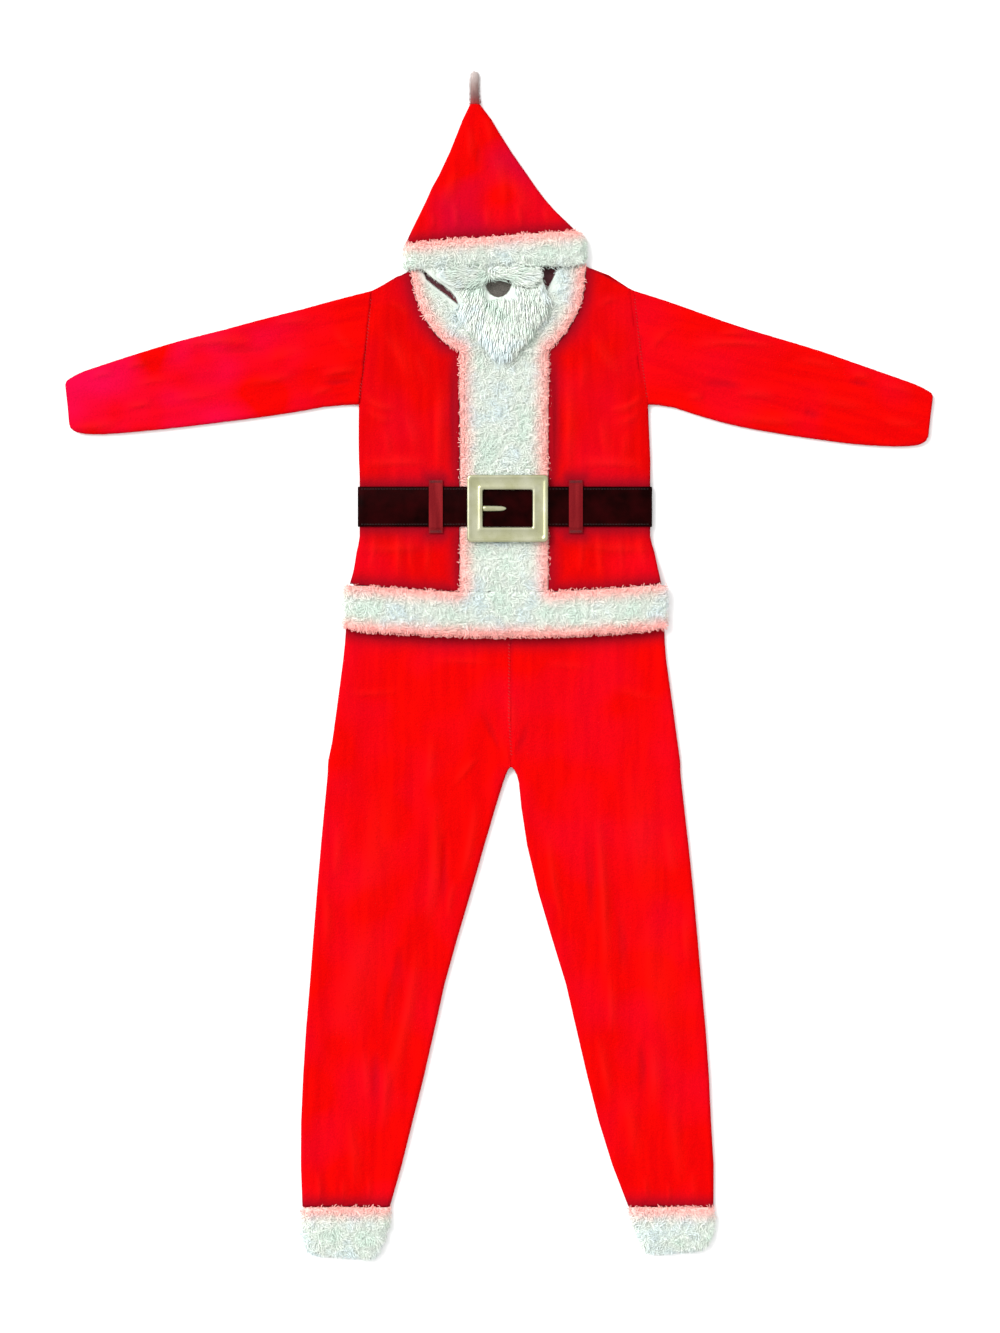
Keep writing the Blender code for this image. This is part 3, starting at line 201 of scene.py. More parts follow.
def shows(face, side, corners=False):
    """Whether nothing lies on this face, neither a neighbour nor the other wall of a tube.

    side is 1 for a panel seen from above, -1 for one that lies below, and 0 for a tube. With
    corners, one free corner is enough.
    """
    if face.normal.z * side < LEAN:
        return False
    middle = face.calc_center_median()
    spots = [middle] + [middle.lerp(vert.co, 0.8) for vert in face.verts if corners]
    lift = face.normal * 0.05 * MM
    level = abs(face.normal.z)
    far = ABOVE if level > LEVEL else BESIDE if level > SLOPING else COVER
    return any(everything.ray_cast(spot + lift, face.normal, far)[0] is None for spot in spots)


def split(mesh, mark, too_long):
    """Halves the longest side of each face that shows, over and over, where too_long says so.

    A face has one side halved at a time, so that no sliver is left behind.
    """
    active = set(mesh.faces)
    while active:
        long = set()
        for face in active:
            if face.is_valid and face[mark]:
                edge = max(face.edges, key=lambda border: border.calc_length())
                if too_long(edge):
                    long.add(edge)
        used, chosen, active = set(), [], set()
        for edge in sorted(long, key=lambda border: (-border.calc_length(), border.index)):
            if used.isdisjoint(edge.link_faces):
                used.update(edge.link_faces)
                chosen.append(edge)
            else:
                active.update(edge.link_faces)
        if not chosen:
            break
        made = bmesh.ops.subdivide_edges(mesh, edges=chosen, cuts=1)["geom_inner"]
        for half in made:
            if not isinstance(half, bmesh.types.BMVert):
                continue
            for face in list(half.link_faces):
                if len(face.verts) == 4:
                    corners = list(face.verts)
                    across = corners[(corners.index(half) + 2) % 4]
                    bmesh.utils.face_split(face, half, across)
            active.update(half.link_faces)
        mesh.edges.index_update()


# The shortest side that is still split. A fold's spine is marked every so many millimetres, it
# reaches so many of its widths to each side, and a side there may span this share of that.
FINEST = 3.2 * MM
SPINE_STEP = 5
REACHED = 2.2
SPANNED = 0.28


def cut_fine(mesh, spacing, side, folds=(), finest=FINEST):
    """Marks the faces that show and splits them to the spacing, and finer along the folds."""
    mesh.normal_update()
    mark = mesh.faces.layers.int.new("shows")
    for face in mesh.faces:
        face[mark] = shows(face, side, corners=True)
    split(mesh, mark, lambda edge: edge.calc_length() > spacing)
    mesh.normal_update()
    for face in mesh.faces:
        face[mark] = face[mark] and shows(face, side)
    if folds:
        spines, reaches = [], []
        for fold in folds:
            length = math.hypot(fold.to_x - fold.x, fold.to_y - fold.y)
            steps = max(2, round(length / SPINE_STEP))
            for step in range(steps + 1):
                share = step / steps
                spines.append(Vector((
                    (fold.x + (fold.to_x - fold.x) * share) * MM,
                    (fold.y + (fold.to_y - fold.y) * share) * MM, 0,
                )))
                reaches.append((REACHED * fold.wide + abs(fold.bow)) * MM)
        near_spine = KDTree(len(spines))
        for at, place in enumerate(spines):
            near_spine.insert(place, at)
        near_spine.balance()

        def crosses_fold(edge):
            length = edge.calc_length()
            if length < finest:
                return False
            middle = (edge.verts[0].co + edge.verts[1].co) / 2
            _, at, far = near_spine.find((middle.x, middle.y, 0))
            return far < reaches[at] and length > SPANNED * reaches[at]

        split(mesh, mark, crosses_fold)
    mesh.normal_update()
    for at, vert in enumerate(mesh.verts):
        vert.index = at
    return mark


# The upward part of its normal from which a point belongs to the flat of a panel, and how its
# rim is rounded: over how many rounds, and how far in each.
FLAT = 0.75
RIM_ROUNDS = 3
RIM_PULL = 0.4


def soften(mesh, mark, rounds=14):
    """Rounds the facets that show: the flat of a panel in height alone, its rim all ways."""
    places = np.array([vert.co for vert in mesh.verts])
    up = np.array([vert.normal.z for vert in mesh.verts])
    loose = np.array([all(face[mark] for face in vert.link_faces) for vert in mesh.verts])
    ends = np.array([[vert.index for vert in edge.verts] for edge in mesh.edges])
    count = np.bincount(ends.ravel(), minlength=len(places))[:, None]
    flat = loose & (np.abs(up) > FLAT)
    rim = loose & ~flat
    for turn in range(rounds):
        total = np.zeros_like(places)
        np.add.at(total, ends[:, 0], places[ends[:, 1]])
        np.add.at(total, ends[:, 1], places[ends[:, 0]])
        middle = total / count
        places[flat, 2] = middle[flat, 2]
        if turn < RIM_ROUNDS:
            places[rim] += RIM_PULL * (middle[rim] - places[rim])
    return places, up, loose


def placed(name, data):
    """An object of this data, put in the scene."""
    made = bpy.data.objects.new(name, data)
    bpy.context.scene.collection.objects.link(made)
    return made


def add_piece(name, mesh, material):
    """A finished mesh as a smooth piece of one material."""
    data = bpy.data.meshes.new(name)
    mesh.to_mesh(data)
    mesh.free()
    data.materials.append(material)
    data.shade_smooth()
    return placed(name, data)


def stand_for(piece, node):
    """Puts a piece in the place of its node, which it hides, on the one body."""
    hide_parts(node)
    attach(piece, "root")


# A fold is a soft ridge, or a trough where its height is negative: its two ends, how far
# it bows between them, its width and its height, all in millimetres. The tables of folds
# below have a row of these for each.
Fold = namedtuple("Fold", "x y to_x to_y bow wide high")
# A fold runs out past each end by this share of its length, and one of its sides is this much
# gentler than the other.
RUN_OUT = 0.12
GENTLER = 1.7


def fold_heights(places, folds):
    """What the folds add at each place. Each is steeper on one side and fades to its ends."""
    added = np.zeros(len(places))
    for fold in folds:
        start = np.array((fold.x, fold.y)) * MM
        run = np.array((fold.to_x, fold.to_y)) * MM - start
        length = math.hypot(*run)
        ahead = run / length
        offset = places[:, :2] - start
        share = np.clip((offset @ ahead / length + RUN_OUT) / (1 + 2 * RUN_OUT), 0.0, 1.0)
        fade = np.sin(math.pi * share)
        across = offset @ np.array((-ahead[1], ahead[0])) - fold.bow * MM * fade
        across = across / (fold.wide * MM)
        across = np.where(across > 0, across / GENTLER, across)
        added += fold.high * MM * fade * np.exp(-(across**2))
    return added


def behind(folds):
    """The like of some folds on the side that lies down, where they can only be dents."""
    return [
        Fold(fold.x + 9, fold.y - 13, fold.to_x + 5, fold.to_y - 6, -fold.bow, fold.wide,
             -0.5 * abs(fold.high))
        for fold in folds
    ]


def unevenness(place, size, height, turn):
    """Soft rises and dips all over, longer along the grain than across it."""
    x, y = place[0], place[1]
    over = x * math.cos(turn) - y * math.sin(turn)
    along = x * math.sin(turn) + y * math.cos(turn)
    return height * noise.noise(Vector((over / size, along / (2.6 * size), 3.1)))


def between(value, start, end):
    """0 before start, 1 after end, with a soft slope between; start may be the higher."""
    share = min(max((value - start) / (end - start), 0.0), 1.0)
    return share * share * (3 - 2 * share)


PLUSH_NODES = (
    "hat_brim", "beard", "moustache", "collar_left", "collar_right", "collar_back", "placket",
    "hem_band_front", "hem_band_back", "pants_cuff_left", "pants_cuff_right",
)
# What is sewn on, or lies on, the side of the cloth that is seen, and on the side below.
trims_above = tree_of([*PLUSH_NODES, "belt", "belt_loop_left", "belt_loop_right"])
trims_below = tree_of(["hat_brim", "pants_cuff_left", "pants_cuff_right", "belt"])
# How far a trough dips on top and a dent goes in below, at most.
MOST_DIP = 1.3 * MM
MOST_DENT = 1.0 * MM
# How far off a trim, a seam and what an edge is sewn to are looked for.
TRIM_SEARCH = 45 * MM
SEAM_SEARCH = 9 * MM
SEWN_WITHIN = 1.9 * MM
# How much painted shade a trim, a seam, a rolled edge and a trough each put on the nap, how far
# the first two reach, and how much painted shade all of them give together at most.
SHADE_BY_TRIM, TRIM_REACH = 0.70, 13 * MM
SHADE_AT_SEAM, SEAM_REACH = 0.12, 2.2 * MM
SHADE_ON_ROLL, SHADE_IN_TROUGH = 0.6, 0.25
MOST_SHADE = 0.85
# How much painted highlight a ridge gets and how much painted brown shade the inside of the
# garment gets where it shows through the neck. A trough this deep and a ridge this high count in
# full.
RIDGE_HIGHLIGHT, INSIDE_SHADE = 0.18, 0.92
FULL_TROUGH, FULL_RIDGE = 1.5 * MM, 3.2 * MM


def closed_up(place, other, distance, up):
    """Where the wall of a cloth's edge goes to meet what it is sewn to, if that is near."""
    if other is None or distance > SEWN_WITHIN or abs(up) > 0.8:
        return Vector(place)
    return Vector((other.x, other.y, place[2]))


def lay_cloth(name, node, folds, material, side=1, turn=0.0, seams=(), spacing=5.0 * MM):
    """The cloth of one panel: its solid's form, rounded over its facets, with its folds.

    The cloth is held flat where a trim is sewn on. Where it lies down it only has dents.
    seams names the nodes that it is sewn to.
    """
    mesh = welded(node)
    lying = side == -1
    folds = behind(folds) if lying else folds
    coarser = 2.0 if lying else 1.0
    mark = cut_fine(mesh, coarser * spacing, side, folds, finest=coarser * FINEST)
    shade_layer = mesh.verts.layers.float.new("painted_shade")
    highlight_layer = mesh.verts.layers.float.new("open_nap")
    inside_shade_layer = mesh.verts.layers.float.new("inside_shade")
    places, up, loose = soften(mesh, mark)
    floor_level = places[:, 2].min()
    rise = fold_heights(places, folds)
    dents = rise if lying else fold_heights(places, behind(folds))
    sewn_to = tree_of(seams)
    trims = trims_below if lying else trims_above
    for at, vert in enumerate(mesh.verts):
        place = places[at]
        trim, _, _, near = trims.find_nearest(place, TRIM_SEARCH)
        near = TRIM_SEARCH if trim is None else near
        hold = between(near, 0.5 * MM, 8 * MM)
        wave = unevenness(place, 38 * MM, 0.9 * MM, turn)
        wave += unevenness(place, 13 * MM, 0.35 * MM, turn)
        if loose[at] and up[at] > 0.2:
            place[2] += hold * min(up[at] / 0.7, 1.0) * max(rise[at] + wave, -MOST_DIP)
        elif loose[at] and up[at] < -FLAT and place[2] < floor_level + 0.2 * MM:
            place[2] += hold * min(max(-dents[at] - wave, 0.0), MOST_DENT)
        seam, _, _, by_seam = sewn_to.find_nearest(place, SEAM_SEARCH)
        by_seam = SEAM_SEARCH if seam is None else by_seam
        # Painted shade at seams, beside trims, on rolled edges and in troughs, where shade falls.
        seam_shade = SHADE_AT_SEAM * math.exp(-((by_seam / SEAM_REACH) ** 2))
        trim_shade = SHADE_BY_TRIM * math.exp(-((near / TRIM_REACH) ** 2))
        turned = min(max(0.92 - abs(up[at]), 0.0) / 0.8, 1.0)
        roll_shade = 0.0 if by_seam < 2 * MM else SHADE_ON_ROLL * turned
        trough_shade = SHADE_IN_TROUGH * hold * min(max(-rise[at] / FULL_TROUGH, 0.0), 1.0)
        vert[shade_layer] = min(seam_shade + trim_shade + roll_shade + trough_shade, MOST_SHADE)
        # Painted brown shade on the inner face of a piece that lies down, which shows through the
        # neck.
        if lying and up[at] > 0.5:
            vert[inside_shade_layer] = INSIDE_SHADE * between(by_seam, 4 * MM, 8 * MM)
        # Painted highlight on the tops of the folds.
        vert[highlight_layer] = RIDGE_HIGHLIGHT * hold * min(max(rise[at] / FULL_RIDGE, 0.0), 1.0)
        vert.co = closed_up(closed_up(place, trim, near, up[at]), seam, by_seam, up[at])
    mesh.faces.layers.int.remove(mark)
    piece = add_piece(name, mesh, material)
    stand_for(piece, node)
    return piece


def state_cut(node, tube_along=None):
    """Works out the size of the sheet cut to a node's outline, twice as long or as wide round a
    tube; nothing is done with it.
    """
    low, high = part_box(node)
    wide, tall = high[0] - low[0], high[1] - low[1]
    if tube_along == "x":
        tall *= 2
    elif tube_along == "y":
        wide *= 2


LEG_FOLDS = [Fold(*row) for row in (
    (-35, -177, -51, -270, 3, 4.3, 2.5),
    (-92, -92, -96, -150, 2, 4.3, 1.9),
    (-86, -182, -95, -325, 4, 5.6, 2.7),
    (-61, -278, -68, -322, -2, 3.1, 1.9),
    (-74, -225, -79, -305, 2, 3.7, -1.3),
    (-112, -378, -146, -536, 5, 5.6, 2.9),
    (-128, -365, -150, -470, -3, 5, -1.2),
    (-178, -498, -175, -556, 1, 3.7, 1.9),
    (-163, -500, -164, -560, 0, 4.3, -1.3),
    (-212, -210, -216, -268, 1, 4.3, 1.9),
    (-228, -295, -226, -352, 1, 3.7, 1.5),
    (-150, -505, -153, -590, 2, 4.3, 2.2),
    (-196, -590, -190, -668, 2, 5, 1.9),
    (-160, -160, -182, -300, 6, 14, 1.7),
    (-176, -330, -214, -470, 6, 15, 1.9),
    (-58, -150, -30, -118, 2, 3.7, 1.7),
    (126, -206, 135, -385, 2, 4.3, 3.1),
    (140, -400, 143, -470, 1, 3.7, 2.2),
    (154, -320, 158, -392, 1, 4.3, -1.3),
    (112, -230, 116, -330, 1, 4.3, -1.2),
    (196, -492, 197, -560, 2, 5.6, 2.2),
    (182, -490, 184, -548, 0, 4.3, -1.3),
    (214, -210, 222, -266, 1, 4.3, 2),
    (237, -325, 241, -376, 0, 3.7, 1.8),
    (62, -222, 80, -328, -3, 3.7, 2.1),
    (128, -482, 143, -556, -2, 4.3, 2.1),
    (161, -560, 174, -634, 2, 5.6, 2),
    (222, -560, 232, -662, -2, 5.6, 1.8),
    (176, -150, 196, -300, -6, 14, 1.7),
    (192, -340, 222, -480, -5, 15, 1.7),
    (-22, -56, 12, -116, -5, 3.7, -1.3),
    (34, -70, 17, -112, 3, 3.7, -1.1),
    (10, -38, 15, -80, 1, 5, 1.9),
    (-4, -84, 10, -118, -2, 3.1, 1.5),
    (-84, 9, -12, 6, 1, 3.1, 1.4),
    (-196, -32, -136, -30, -2, 3.1, 1.3),
    (58, 4, 118, -2, 2, 3.7, 1.1),
    (150, -26, 206, -40, -2, 3.7, 1.2),
    (-238, -655, -236, -690, 1, 3.1, 1.4),
    (-205, -664, -204, -692, 0, 3.1, 1.3),
    (-172, -660, -172, -690, 1, 2.5, 1.2),
    (186, -660, 190, -688, 0, 3.1, 1.4),
    (216, -668, 218, -692, 1, 2.5, 1.2),
    (248, -655, 250, -688, 0, 3.1, 1.3),
)]

upright_fleece = brushed_fleece("red_fleece_upright")
for side, other_side in (("left", "right"), ("right", "left")):
    for layer, other_layer, facing in (("back", "front", -1), ("front", "back", 1)):
        node = f"pants_{side}_{layer}"
        piece = lay_cloth(
            f"{node}_cloth", node, LEG_FOLDS, upright_fleece, side=facing,
            seams=(f"pants_{other_side}_{layer}", f"pants_{side}_{other_layer}"),
        )
        state_cut(node)

# ------------------------------------------------------------------ trouser cuffs
# A tube of white plush round the foot of each leg: a knitted ground that holds a short curly
# pile, folded over the red cloth and sewn to it along its upper edge.

def red_beside(pieces):
    """A flat search tree of the red faces that show, to find how near the red cloth is."""
    points, faces = [], []
    for name in pieces:
        data = bpy.data.objects[name].data
        for face in data.polygons:
            if face.normal.z < 0.3:
                continue
            if everything.ray_cast(face.center + Vector((0, 0, 6 * MM)), Vector((0, 0, 1)))[0]:
                continue
            start = len(points)
            points += [Vector((*data.vertices[at].co.xy, 0)) for at in face.vertices]
            faces.append(list(range(start, len(points))))
    return BVHTree.FromPolygons(points, faces)


def plush_ground():
    """The knitted ground of the plush: matt, cream-white, in rows of small loops."""
    material, tree, shader = new_finish(
        "plush_ground", Roughness=0.95, IOR=1.46, Specular_IOR_Level=0.1
    )
    place = add(tree, "ShaderNodeTexCoord").outputs["Object"]
    # Knitted wales 1.2 mm apart, where real ones are about 0.7 mm.
    wales = add(
        tree, "ShaderNodeTexWave",
        {"Vector": place, "Scale": 1 / (3.2 * 1.2 * MM), "Distortion": 2.0, "Detail": 1.0},
    )
    # Painted red bounce light from the red cloth beside the trim.
    red_bounce = add(tree, "ShaderNodeAttribute", attribute_name="red_bounce")
    mixed = add(
        tree, "ShaderNodeMix", {0: red_bounce.outputs["Fac"], 6: colour("D6DED6"), 7: colour("F0BDB4")},
        data_type="RGBA",
    )
    raised = add(
        tree, "ShaderNodeBump",
        {"Strength": 0.4, "Distance": 0.4 * MM, "Height": wales.outputs["Fac"]},
    )
    feed(shader, {"Base Color": mixed.outputs[2], "Normal": raised})
    return material


def plush_pile():
    """The pile of the plush: soft cool white that drifts to mint and to pale blue, with pink-cream
    painted red bounce light where it meets the red cloth. The locks get painted shade at the root.
    """
    material, tree, shader = new_finish(
        "plush_pile", Roughness=0.85, IOR=1.5, Sheen_Weight=0.25, Sheen_Roughness=0.35,
        Sheen_Tint=colour("FFFFFF"), Specular_IOR_Level=0.2,
    )
    place = add(tree, "ShaderNodeTexCoord").outputs["Object"]
    drift = add(
        tree, "ShaderNodeTexNoise", {"Vector": place, "Scale": 1 / (34 * MM), "Detail": 2.0}
    )
    tint = add(
        tree, "ShaderNodeValToRGB", {"Fac": drift},
        stops=((0.36, "DAEADE"), (0.50, "E6ECE3"), (0.64, "DBE8E8")),
    )
    # Painted red bounce light from the red cloth beside the trim.
    red_bounce = add(tree, "ShaderNodeAttribute", attribute_name="red_bounce")
    bounce_tinted = add(
        tree, "ShaderNodeMix", {0: red_bounce.outputs["Fac"], 6: tint, 7: colour("FFB0A8")},
        data_type="RGBA",
    )
    tuft = add(tree, "ShaderNodeAttribute", attribute_name="tuft")
    tip = add(tree, "ShaderNodeAttribute", attribute_name="tip")
    # Painted shade at the root of each lock, darker towards the ground.
    depth = add(
        tree, "ShaderNodeMapRange", {"Value": tip.outputs["Fac"], 1: 0.0, 2: 0.6, 3: 0.93, 4: 1.0}
    )
    uneven = add(
        tree, "ShaderNodeMapRange",
        {"Value": tuft.outputs["Fac"], 1: 0.0, 2: 1.0, 3: 0.95, 4: 1.03},
    )
    value = add(tree, "ShaderNodeMath", {0: depth, 1: uneven}, operation="MULTIPLY")
    shaded = add(tree, "ShaderNodeHueSaturation", {"Color": bounce_tinted.outputs[2], "Value": value})
    feed(shader, {"Base Color": shaded})
    return material


def new_geometry_tree(name, inputs):
    """An empty Geometry Nodes tree with a named input for each title, kind and value."""
    tree = bpy.data.node_groups.new(name, "GeometryNodeTree")
    tree.interface.new_socket("Geometry", in_out="INPUT", socket_type="NodeSocketGeometry")
    for title, kind, value in inputs:
        socket = tree.interface.new_socket(title, in_out="INPUT", socket_type=f"NodeSocket{kind}")
        if value is not None:
            socket.default_value = value
    tree.interface.new_socket("Geometry", in_out="OUTPUT", socket_type="NodeSocketGeometry")
    return tree


def locks_tree():
    """Grows curved locks on the faces that show. Each is bent one way, and the way they bend
    swirls over the ground; Comb adds a pull away from one point.
    """
    tree = new_geometry_tree("plush_locks", (
        ("Spacing", "Float", 1.6 * MM), ("Length", "Float", 4.4 * MM), ("Width", "Float", 0.19),
        ("Lean", "Float", 0.75), ("Swirl", "Float", 11 * MM), ("Comb", "Float", 0.0),
        ("Comb from", "Vector", (0, 0, 0)), ("Seed", "Int", 7), ("Material", "Material", None),
    ))
    given = add(tree, "NodeGroupInput").outputs
    bend = add(tree, "ShaderNodeCombineXYZ", {0: given["Lean"], 1: 0.0, 2: 0.78})
    spine = add(
        tree, "GeometryNodeCurvePrimitiveBezierSegment",
        {"Resolution": 3, "Start": (0, 0, 0), "Start Handle": (0, 0, 0.5),
         "End Handle": (0.3, 0.16, 1.0), "End": bend},
    )
    along = add(tree, "GeometryNodeSplineParameter").outputs["Factor"]
    tipped = add(
        tree, "GeometryNodeStoreNamedAttribute",
        {"Geometry": spine, "Name": "tip", "Value": along}, data_type="FLOAT", domain="POINT",
    )
    taper = add(
        tree, "ShaderNodeMapRange", {"Value": along, 1: 0.0, 2: 1.0, 3: given["Width"], 4: 0.05}
    )
    round_form = add(tree, "GeometryNodeCurvePrimitiveCircle", {"Resolution": 3, "Radius": 1.0})
    lock = add(
        tree, "GeometryNodeCurveToMesh",
        {"Curve": tipped, "Profile Curve": round_form, "Scale": taper, "Fill Caps": True},
    )
    seen = add(tree, "GeometryNodeInputNamedAttribute", {"Name": "shows"}, data_type="INT")
    fullness = add(
        tree, "GeometryNodeInputNamedAttribute", {"Name": "fullness"}, data_type="FLOAT"
    )
    squared = add(tree, "ShaderNodeMath", {0: given["Spacing"], 1: 2.0}, operation="POWER")
    most = add(tree, "ShaderNodeMath", {0: 2.5, 1: squared}, operation="DIVIDE")
    spread = add(
        tree, "GeometryNodeDistributePointsOnFaces",
        {"Mesh": given["Geometry"], "Selection": seen,
         "Distance Min": given["Spacing"], "Density Max": most,
         "Density Factor": fullness, "Seed": given["Seed"]}, distribute_method="POISSON",
    )
    tuft = add(tree, "FunctionNodeRandomValue", {"Seed": 3}, data_type="FLOAT")
    rooted = add(
        tree, "GeometryNodeStoreNamedAttribute",
        {"Geometry": spread, "Name": "tuft", "Value": tuft.outputs[1]},
        data_type="FLOAT", domain="POINT",
    )
    place = add(tree, "GeometryNodeInputPosition").outputs["Position"]
    fineness = add(tree, "ShaderNodeMath", {0: 1.0, 1: given["Swirl"]}, operation="DIVIDE")
    swirl = add(tree, "ShaderNodeTexNoise", {"Vector": place, "Scale": fineness, "Detail": 2.0})
    centred = add(
        tree, "ShaderNodeVectorMath", {0: swirl.outputs["Color"], 1: (0.5, 0.5, 0.5)},
        operation="SUBTRACT",
    )
    away = add(
        tree, "ShaderNodeVectorMath", {0: place, 1: given["Comb from"]}, operation="SUBTRACT"
    )
    away = add(tree, "ShaderNodeVectorMath", {0: away}, operation="NORMALIZE")
    combed = add(tree, "ShaderNodeVectorMath", {0: away, 3: given["Comb"]}, operation="SCALE")
    flow = add(tree, "ShaderNodeVectorMath", {0: centred, 1: combed}, operation="ADD")
    tilt = add(
        tree, "ShaderNodeVectorMath",
        {0: centred, 1: (0.9, 0.9, 0.0), 2: spread.outputs["Normal"]}, operation="MULTIPLY_ADD",
    )
    upright = add(tree, "FunctionNodeAlignRotationToVector", {"Vector": tilt}, axis="Z")
    facing = add(
        tree, "FunctionNodeAlignRotationToVector", {"Rotation": upright, "Vector": flow},
        axis="X", pivot_axis="Z",
    )
    size = add(tree, "FunctionNodeRandomValue", {2: 0.75, 3: 1.2, "Seed": 5}, data_type="FLOAT")
    length = add(
        tree, "ShaderNodeMath", {0: size.outputs[1], 1: given["Length"]}, operation="MULTIPLY"
    )
    clipped = add(tree, "GeometryNodeInputNamedAttribute", {"Name": "clipped"}, data_type="FLOAT")
    uncut = add(tree, "ShaderNodeMath", {0: 1.0, 1: clipped}, operation="SUBTRACT")
    length = add(tree, "ShaderNodeMath", {0: length, 1: uncut}, operation="MULTIPLY")
    planted = add(
        tree, "GeometryNodeInstanceOnPoints",
        {"Points": rooted, "Instance": lock, "Rotation": facing, "Scale": length},
    )
    real = add(tree, "GeometryNodeRealizeInstances", {"Geometry": planted})
    dyed = add(tree, "GeometryNodeSetMaterial", {"Geometry": real, "Material": given["Material"]})
    add(tree, "NodeGroupOutput", {"Geometry": dyed})
    return tree


def grown(source, tree, name, values):
    """What a Geometry Nodes tree makes on an object, as a plain piece of its own."""
    modifier = source.modifiers.new(name, "NODES")
    modifier.node_group = tree
    for item in tree.interface.items_tree:
        if item.in_out == "INPUT" and item.name in values:
            modifier[item.identifier] = values[item.name]
    graph = bpy.context.evaluated_depsgraph_get()
    data = bpy.data.meshes.new_from_object(source.evaluated_get(graph))
    source.modifiers.remove(modifier)
    data.name = name
    data.shade_smooth()
    return placed(name, data)


def grow_pile(ground, name, values):
    """The locks that stand on a ground, none of them lower than the suit may lie."""
    locks = grown(ground, plush_locks, name, values)
    for vertex in locks.data.vertices:
        vertex.co.z = max(vertex.co.z, LOWEST)
    return locks


ground_finish = plush_ground()
pile_finish = plush_pile()
plush_locks = locks_tree()
# Nothing of a pile is lower than this.
LOWEST = 0.1 * MM

# The two openings beside the beard and the mouth, as lines along their middles. The pile is
# clipped short round them.
OPENINGS = (
    ((-0.0988, 0.5161), (-0.0585, 0.4784)), ((0.0600, 0.5200), (0.0620, 0.4960)),
    ((-0.0125, 0.4925), (0.0060, 0.4925)),
)
# How much of its length the pile loses there, and from where to where the clipping fades out.
CLIPPED = 0.7
CLIPPED_TO, FULL_FROM = 6 * MM, 14 * MM


def off_line(place, line):
    """How far a place is from a line between two points, seen from above."""
    (x0, y0), (x1, y1) = line
    run, off = Vector((x1 - x0, y1 - y0)), Vector((place[0] - x0, place[1] - y0))
    share = min(max(off.dot(run) / run.length_squared, 0.0), 1.0)
    return (off - share * run).length


# How far the ground is sunk, in millimetres: where it lies down, at its rim, and what comes on
# top of that where it faces up. It is sunk by no more than this share of the solid's depth.
SUNK_LYING, SUNK_RIM, SUNK_TOP = 1.2, 0.6, 1.7
MOST_SUNK = 0.36
# How full the pile is where it lies down and is crushed.
CRUSHED = 0.4
# How far off the red cloth is looked for, and how much painted red bounce light it gives the pile
# that touches it.
RED_SEARCH = 30 * MM
RED_BOUNCE = 0.95
# How far a free edge is drawn up, and over how much of the width.
DRAWN_UP = 4.0 * MM
DRAWN_OVER = 24 * MM


def lay_plush(
    node, side=1, rests_on=(), tube_along=None, beside=(), reach=12 * MM, hangs_over=(), bare=None,
    **pile,
):
    """One trim of plush: its ground, sunk below the solid's face, and the pile that stands on
    it up to that face. The pile is crushed level where it lies down. beside names the red
    pieces it meets, whose red bounce light is painted on it over the reach. Its lower edge is
    drawn up where it hangs free over the pieces of hangs_over, so that the pile ends at the
    solid's edge. bare is the middle and half size of a spot without pile.
    """
    red_cloth = red_beside(beside) if beside else None
    covered = red_beside(hangs_over) if hangs_over else None
    mesh = welded(node)
    mark = cut_fine(mesh, 6.5 * MM, side)
    red_bounce = mesh.verts.layers.float.new("red_bounce")
    fullness = mesh.verts.layers.float.new("fullness")
    clipped = mesh.verts.layers.float.new("clipped")
    places, _, _ = soften(mesh, mark, rounds=8)
    for vert, place in zip(mesh.verts, places):
        vert.co = place
    mesh.normal_update()
    body = BVHTree.FromBMesh(mesh)
    moves = []
    for vert in mesh.verts:
        seen = [face.normal for face in vert.link_faces if face[mark]]
        if not seen:
            moves.append(Vector())
            continue
        outward = sum(seen, Vector()).normalized()
        depth = body.ray_cast(vert.co - outward * 0.05 * MM, -outward)[3]
        depth = 0.0 if depth is None else depth
        lying = outward.z < -0.7
        sink = SUNK_LYING * MM if lying else (SUNK_RIM + SUNK_TOP * max(outward.z, 0.0)) * MM
        moves.append(-outward * min(sink, MOST_SUNK * depth))
        vert[fullness] = CRUSHED if lying else 1.0
        if bare and abs(vert.co.x - bare[0]) < bare[2] and abs(vert.co.y - bare[1]) < bare[3]:
            vert[fullness] = 0.0
    others = tree_of([name for name in PLUSH_NODES if name != node])
    for vert, move in zip(mesh.verts, moves):
        other, _, _, distance = others.find_nearest(vert.co, SEWN_WITHIN)
        vert.co = closed_up(vert.co, other, distance, vert.normal.z)
        flat = Vector((*vert.co.xy, 0))
        near = red_cloth.find_nearest(flat, RED_SEARCH)[3] if red_cloth else None
        near = RED_SEARCH if near is None else near
        if "brim" not in node:
            beside_opening = min(off_line(vert.co, line) for line in OPENINGS)
            vert[clipped] = CLIPPED * (1.0 - between(beside_opening, CLIPPED_TO, FULL_FROM))
        # Painted red bounce light, strongest next to the red cloth.
        vert[red_bounce] = RED_BOUNCE * math.exp(-((near / reach) ** 2))
        from_edge = covered.find_nearest(flat, DRAWN_OVER)[3] if covered else None
        if from_edge is not None:
            vert.co.y += DRAWN_UP * (1.0 - from_edge / DRAWN_OVER)
        vert.co += move
    ground = add_piece(f"{node}_ground", mesh, ground_finish)
    locks = grow_pile(ground, f"{node}_pile", {"Material": pile_finish, **pile})
    for piece in (ground, locks):
        stand_for(piece, node)
    state_cut(node, tube_along)


for side in ("left", "right"):
    lay_plush(
        f"pants_cuff_{side}", side=0, tube_along="y", beside=[f"pants_{side}_front_cloth"],
        Seed=11 if side == "left" else 12,
    )

# ------------------------------------------------------------------ jacket
# A back and two fronts of the same red fleece, sewn at the shoulders and sides. The fronts
# meet under the placket. The belt gathers them, so the cloth swells above and below it.

